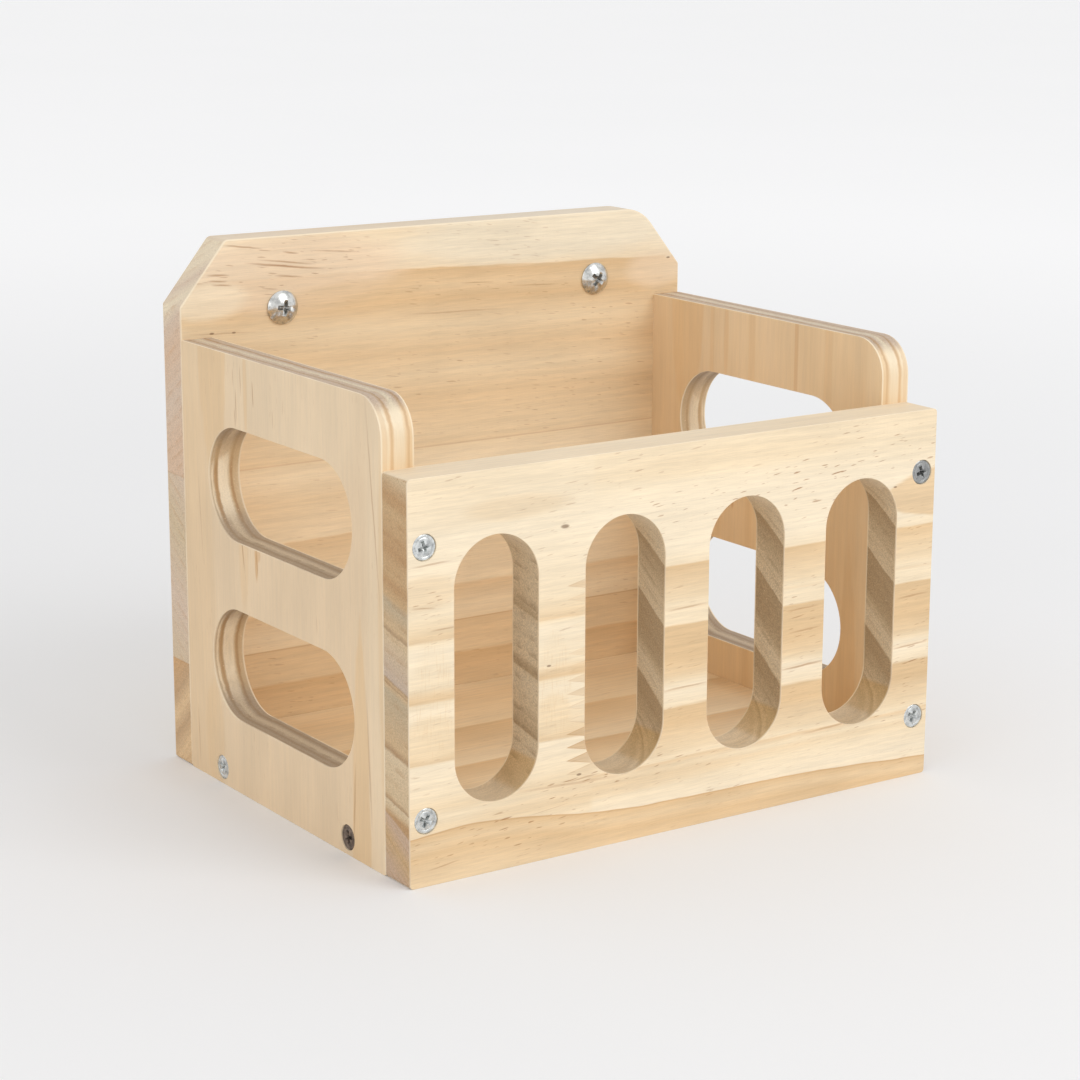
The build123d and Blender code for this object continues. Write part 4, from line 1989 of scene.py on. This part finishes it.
    def back(self) -> Board:
        """The back board: three timbers, with both top corners cut off at a slant.

        Returns:
            The board.
        """
        upper = Timber(
            rise=0.9,
            lean=0.6,
            drift=0.02,
            waver=2.0,
            rings=5.0,
            seed=17.0,
            bands=(
                (-75, Tone.WHEAT), (-55, Tone.STRAW), (-40, Tone.WHEAT), (-31, Tone.STRAW),
                (-22, Tone.WHEAT), (-12, Tone.STRAW), (-6, Tone.WHEAT), (-2, Tone.HONEY), (3, Tone.WHEAT),
                (7.5, Tone.HONEY), (9.0, Tone.HONEY), (9.5, Tone.CREAM), (16, Tone.PALE), (24, Tone.CREAM),
                (40, Tone.STRAW),
            ),
            ends=(
                (-75, Tone.BLUSH), (-45, Tone.BLUSH), (-30, Tone.ASH), (-10, Tone.BLUSH), (0, Tone.ASH),
                (7, Tone.MILK), (14, Tone.ASH), (20, Tone.MILK), (40, Tone.MILK),
            ),
        )
        middle = Timber(
            rise=0.8,
            lean=-0.5,
            rings=4.4,
            seed=23.0,
            bands=(
                (-130, Tone.STRAW), (-112, Tone.CREAM), (-104, Tone.WHEAT), (-103, Tone.CREAM),
                (-88, Tone.STRAW), (-80, Tone.WHEAT), (-79.4, Tone.CREAM), (-66, Tone.STRAW),
                (-58, Tone.CREAM), (-50, Tone.STRAW),
            ),
            ends=((-130, Tone.DRIFT), (-100, Tone.ASH), (-75, Tone.DRIFT), (-50, Tone.ASH)),
        )
        lower = Timber(
            rise=0.9,
            lean=0.9,
            rings=4.0,
            seed=29.0,
            bands=(
                (-190, Tone.WHEAT), (-176, Tone.STRAW), (-169, Tone.HONEY), (-168, Tone.STRAW),
                (-152, Tone.WHEAT), (-145, Tone.HONEY), (-144, Tone.STRAW), (-130, Tone.WHEAT),
                (-110, Tone.STRAW),
            ),
            ends=(
                (-175, Tone.DUSK), (-160, Tone.WHEAT), (-150, Tone.DUSK), (-141, Tone.WHEAT),
                (-134, Tone.DUSK), (-120, Tone.CARAMEL),
            ),
        )
        finish = PineFinish(
            "pine_back", "X", "Z", "Y", -16.0, 1.0, 16.0, upper,
            glue_lines=(
                GlueLine(middle, ((0, -66.0),), fray=0.0),
                GlueLine(lower, ((0, -145.5),), fray=0.0),
            ),
            stains=(
                Stain(-75, 14, 52, 16, Tone.PEACH, 0.8, 0.5),
                Stain(-45, 1, 34, 7, Tone.HONEY, 0.5, 0.6),
                Stain(-113, 5, 18, 8, Tone.PALE, 0.7, 0.5),
                Stain(52, 23, 66, 13, Tone.MILK, 0.7, 0.5),
                Stain(112, 2, 16, 8, Tone.PEACH, 0.6, 0.6),
            ),
            knots=(Knot(-111, -8.2, 0.5), Knot(-101, -8.6, 0.45), Knot(119, 6.5, 0.45)),
            crowds=(Crowd(-75, 17, 45, 12, 0.9), Crowd(20, 0, 70, 5, 0.6), Crowd(60, -30, 80, 25, 0.4)),
            streaks=(
                Streak((-105, 27.3), (-87, 24.8), 0.5, 0.75), Streak((-96, 19.4), (-57, 14.3), 0.6, 0.85),
                Streak((-90, 20.4), (-62, 16.6), 0.45, 0.7), Streak((-82, 13.2), (-68, 11.8), 0.5, 0.7),
                Streak((-113, 15.6), (-102, 14.9), 0.5, 0.7), Streak((-113, 13.2), (-103, 12.6), 0.5, 0.7),
                Streak((-111, 11.6), (-101, 10.8), 0.5, 0.7), Streak((-66, 22.6), (-40, 20.2), 0.45, 0.55),
                Streak((-78, 22.8), (-70, 21.6), 0.5, 0.7), Streak((-88, 8.6), (-80, 7.6), 0.4, 0.5),
                Streak((8, 3.4), (26, 2.6), 0.4, 0.5), Streak((34, 0.2), (60, -1.0), 0.4, 0.5),
                Streak((-20, -8), (30, -9.5), 0.5, 0.4), Streak((-122, -8.0), (-90, -9.0), 0.35, 0.4),
            ),
            dash_tilt=-0.11,
            dashes=0.6,
            edge_share=0.6,
            end_level=1.24,
        )
        cut_x, cut_z = self.corner_cut
        cuts = {"upper_left": (cut_x, cut_z, 1.5, 3.0), "upper_right": (-cut_x, cut_z, 1.5, 18.0)}
        return Board("back_board", Plane.FRONT, finish, cuts=cuts)

    def side(self, name: str) -> Board:
        """One side panel, flat sawn with upright grain, so its rings lie along its face.

        Args:
            name: Left or right.

        Returns:
            The board.
        """
        left = name == "left"
        face, inward = (-125.0, 1.0) if left else (125.0, -1.0)
        timber = Timber(
            rise=0.012,
            lean=1.0,
            drift=0.004,
            waver=0.7,
            rings=5.2,
            ring_share=0.35,
            seed=37.0 if left else 43.0,
            # the sand tone is kept darker than this wood, as painted shade on a side that gets less light
            bands=(
                (-9, Tone.SAND), (0.2, Tone.SAND), (0.7, Tone.PALE), (1.2, Tone.CREAM), (1.9, Tone.CARAMEL),
                (2.6, Tone.AMBER), (3.1, Tone.CARAMEL), (3.7, Tone.PALE), (7.6, Tone.PALE),
                (8.6, Tone.WHEAT), (9.3, Tone.AMBER), (9.8, Tone.AMBER), (10.3, Tone.HONEY),
                # on the right panel the inner face leans to the greyer drift tone, as painted shade inside
                # the box
                (12.2, Tone.WHEAT), (13.5, Tone.SAND), (22, Tone.SAND if left else Tone.DRIFT),
            ),
            ends=(
                (-9, Tone.ASH), (1.2, Tone.ASH), (2.6, Tone.DUSK), (3.1, Tone.ASH), (6.0, Tone.MILK),
                (8.2, Tone.ASH), (9.4, Tone.DUSK), (10.2, Tone.ASH), (16, Tone.DRIFT),
            ),
            ends_in_slots=True,
        )
        inner = () if left else (
            Stain(-50, -60, 400, 1.4, Tone.HONEY, 0.5, 0.5),
            Stain(-30, -88, 400, 2.2, Tone.HONEY, 0.45, 0.5),
            Stain(-30, -118, 400, 1.2, Tone.CARAMEL, 0.5, 0.5),
            Stain(-30, -139, 400, 2.5, Tone.HONEY, 0.45, 0.5),
            Stain(-30, -36, 400, 3.0, Tone.HONEY, 0.4, 0.5),
        )
        finish = PineFinish(
            f"pine_{name}_side", "Z", "Y", "X", face, inward, 14.0, timber,
            stains=(
                # painted light: this soft cream stain lightens the top middle, where more light falls
                Stain(-18, -110, 30, 55, Tone.CREAM, 0.25, 0.8),
                Stain(-110, -24, 95, 16, Tone.HONEY, 0.4, 0.5),
                Stain(-104, -172, 120, 11, Tone.CREAM, 0.3, 0.6),
                Stain(2, -42, 62, 12, Tone.HONEY, 0.7, 0.15),
                Stain(-20, -22, 60, 8, Tone.WHEAT, 0.3, 0.6),
                Stain(-95, -175, 80, 5, Tone.HONEY, 0.5, 0.45),
                Stain(-210, -156, 108, 7, Tone.HONEY, 0.75, 0.12),
                Stain(-170, -38, 24, 8, Tone.HONEY, 0.5, 0.3),
                Stain(-90, -76.5, 7, 1.3, Tone.CARAMEL, 0.85, 0.5),
                Stain(-86, -77.5, 3, 2.6, Tone.CARAMEL, 0.6, 0.5),
                Stain(-78, -66, 34, 4, Tone.HONEY, 0.5, 0.4),
                Stain(-22, -70, 18, 1.6, Tone.HONEY, 0.6, 0.5),
                *inner,
            ),
            streaks=(
                Streak((-12, -66), (-25, -66.4)), Streak((-17, -76), (-28, -76.6), 0.6, 0.6),
                Streak((-30, -61), (-38, -61.4), 0.5, 0.6), Streak((-14, -60), (-22, -60.2), 0.35, 0.5),
                Streak((-26, -92), (-34, -92.2), 0.35, 0.4), Streak((-160, -23), (-186, -23.6), 0.5, 0.5),
                Streak((-84, -76.5), (-95, -77.3), 0.5, 0.6), Streak((-10, -162), (-88, -171.5), 0.6, 0.5),
                Streak((-100, -124), (-108, -124.2), 0.35, 0.4), Streak((-96, -66.5), (-78, -64), 0.7, 0.6),
                Streak((-36, -62.5), (-22, -62), 0.45, 0.6), Streak((-60, -28), (-100, -31), 0.4, 0.4),
                Streak((-150, -152), (-186, -150), 0.8, 0.55),
                Streak((-120, -160.5), (-176, -164), 0.8, 0.45),
            ),
            # the slot walls' drab tone is painted shade, and their darker late wood is partly painted shade
            walls=Walls(-98.5, -94.5, 70, 62, Tone.DRAB, 0.55, 0.0, 0.22, 0.04),
            dash_tilt=0.0,
            dashes=0.3,
            edge_share=0.0,
            figure=0.5,
        )
        return Board(
            f"{name}_side_panel", Plane.SIDE, finish, corner=0.9, slots=self.side_slots,
            radii={"upper_left": 15.0},
        )

    def floor(self) -> Board:
        """The floor board, grain running from side to side.

        Returns:
            The board.
        """
        timber = Timber(
            rise=0.7,
            lean=0.9,
            seed=53.0,
            bands=(
                (-125, Tone.STRAW), (-110, Tone.WHEAT), (-109, Tone.CREAM), (-92, Tone.STRAW),
                (-80, Tone.HONEY), (-79, Tone.CREAM), (-62, Tone.WHEAT), (-50, Tone.HONEY),
                (-49, Tone.STRAW), (-25, Tone.WHEAT), (-10, Tone.STRAW), (10, Tone.WHEAT),
            ),
        )
        finish = PineFinish("pine_floor", "X", "Y", "Z", -175.5, -1.0, 14.0, timber, dashes=0.5)
        return Board("floor_board", Plane.FLAT, finish, corner=0.9)

    def boards(self) -> list[Board]:
        """Every board, in the order that they are built."""
        return [self.back(), self.front(), self.side("left"), self.side("right"), self.floor()]


@dataclass
class GlueBead:
    """Glue squeezed out of the groove between the left side panel and the front panel."""

    top: float = -177.5
    bottom: float = -187.0
    face: float = -125.0
    groove: float = -172.9
    thickness: float = 0.5
    rings: int = 19
    segments: int = 14
    finish: GlueFinish = GlueFinish()

    def build(self) -> None:
        """Build the bead as a lumpy tapering bead in the groove."""
        work = bmesh.new()
        loops = []
        for ring in range(self.rings):
            share = ring / (self.rings - 1)
            swell = math.sin(math.pi * share) ** 0.5 * (0.72 + 0.28 * math.sin(9.0 * share + 1.0))
            radius = max(swell * self.thickness, 0.05)
            height = self.top + (self.bottom - self.top) * share
            middle = Vector((self.face + radius * 0.62, self.groove + 0.5 * math.sin(6 * share), height))
            loop = []
            for segment in range(self.segments):
                angle = 2 * math.pi * segment / self.segments
                point = middle + Vector((0.6 * radius * math.cos(angle), radius * math.sin(angle), 0))
                loop.append(work.verts.new(point * MM))
            loops.append(loop)
        skin(work, loops)
        mesh = mesh_of(work, "glue_bead")
        tidy_mesh(mesh, smooth_angle=80.0)
        show(mesh, "glue_bead", self.finish.material(), "box", "left_side_panel", stands_in=False)


# ------------------------------------------------------------
# Studio
# ------------------------------------------------------------


@dataclass(frozen=True)
class Lamp:
    """One soft square lamp: its place and side in metres, and its power in watts."""

    name: str
    place: tuple[float, float, float]
    size: float
    power: float


@dataclass
class Studio:
    """A plain pale floor, soft light and the camera. Lengths are metres and angles radians."""

    eye: tuple[float, float, float] = (-0.61336, -0.99860, 0.16924)
    yaw: float = 0.59379
    pitch: float = -0.23564
    roll: float = 0.0032
    lens: float = 90.915
    sensor: float = 36.0
    sky: float = 0.80
    backdrop: float = 0.90
    floor_size: float = 60.0
    lamps: tuple[Lamp, ...] = (
        Lamp("key", (0.9, -2.0, 1.5), 1.4, 16.0), Lamp("fill", (-2.2, -1.2, 0.6), 1.6, 5.0)
    )
    lit_point: tuple[float, float, float] = (0, -0.1, -0.08)

    def camera(self) -> None:
        """Add the camera."""
        data = bpy.data.cameras.new("camera")
        data.lens, data.sensor_width, data.sensor_fit = self.lens, self.sensor, "AUTO"
        data.clip_start, data.clip_end = 0.05, 200.0
        camera = linked("camera", data)
        level = math.cos(self.pitch)
        ahead = Vector((math.sin(self.yaw) * level, math.cos(self.yaw) * level, math.sin(self.pitch)))
        turn = ahead.to_track_quat("-Z", "Y").to_matrix().to_4x4()
        camera.matrix_world = Matrix.Translation(self.eye) @ turn @ Matrix.Rotation(self.roll, 4, "Z")
        bpy.context.scene.camera = camera

    def light(self, lamp: Lamp) -> None:
        """Add one lamp that points at the box.

        Args:
            lamp: The lamp.
        """
        data = bpy.data.lights.new(lamp.name, "AREA")
        data.shape, data.size, data.energy = "SQUARE", lamp.size, lamp.power
        towards = (Vector(self.lit_point) - Vector(lamp.place)).to_track_quat("-Z", "Y")
        turn = towards.to_matrix().to_4x4()
        linked(lamp.name, data).matrix_world = Matrix.Translation(lamp.place) @ turn

    def world(self) -> None:
        """Light everything evenly, and show white behind it."""
        made = bpy.data.worlds.new("studio")
        made.use_nodes = True
        sheet = Sheet(made.node_tree)
        path = sheet.node("ShaderNodeLightPath").outputs
        seen = sheet.highest(path["Is Camera Ray"], path["Is Glossy Ray"], path["Is Transmission Ray"])
        strength = sheet.math("MULTIPLY_ADD", seen, self.backdrop - self.sky, self.sky)
        back = sheet.node("ShaderNodeBackground", {"Color": (1.0, 1.0, 1.0, 1.0), "Strength": strength})
        sheet.node("ShaderNodeOutputWorld", {0: back.outputs[0]})
        bpy.context.scene.world = made

    def floor(self) -> None:
        """Add the floor that the box stands on."""
        half = self.floor_size / 2
        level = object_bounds()[0][2]
        mesh = bpy.data.meshes.new("floor")
        corners = [(x * half, y * half, level) for x, y in ((-1, -1), (1, -1), (1, 1), (-1, 1))]
        mesh.from_pydata(corners, [], [(0, 1, 2, 3)])
        mesh.materials.append(FloorFinish().material())
        floor = linked("floor", mesh)
        floor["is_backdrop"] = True

    def build(self) -> None:
        """Add everything and set the plain view transform."""
        self.camera()
        self.world()
        self.floor()
        for lamp in self.lamps:
            self.light(lamp)
        bpy.context.scene.view_settings.view_transform = "Standard"


def drill_solid(meshes: Sequence[bpy.types.Mesh]) -> bpy.types.Object:
    """One object of every hole's solid, to cut the boards with.

    Args:
        meshes: The holes' solids.

    Returns:
        The object.
    """
    work = bmesh.new()
    for mesh in meshes:
        work.from_mesh(mesh)
    return linked("holes", mesh_of(work, "holes"))


def main() -> None:
    """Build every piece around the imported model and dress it."""
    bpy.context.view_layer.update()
    boards_shape, turned_shape = board_tree(), turned_tree()
    screws = WoodScrews()
    clamps = [Clamp("left", -8.0, 20.0), Clamp("right", 52.0, -35.0)]
    plain = bpy.data.materials.new("cutter")
    cutters = screws.holes(turned_shape, plain) + [clamp.hole(turned_shape, plain) for clamp in clamps]
    holes = drill_solid(cutters)
    for board in FeederBox().boards():
        board.build(boards_shape, holes)
    bpy.data.objects.remove(holes)
    GlueBead().build()
    screws.build(turned_shape)
    for clamp in clamps:
        clamp.build(turned_shape)
    Studio().build()


if __name__ == "__main__":
    main()
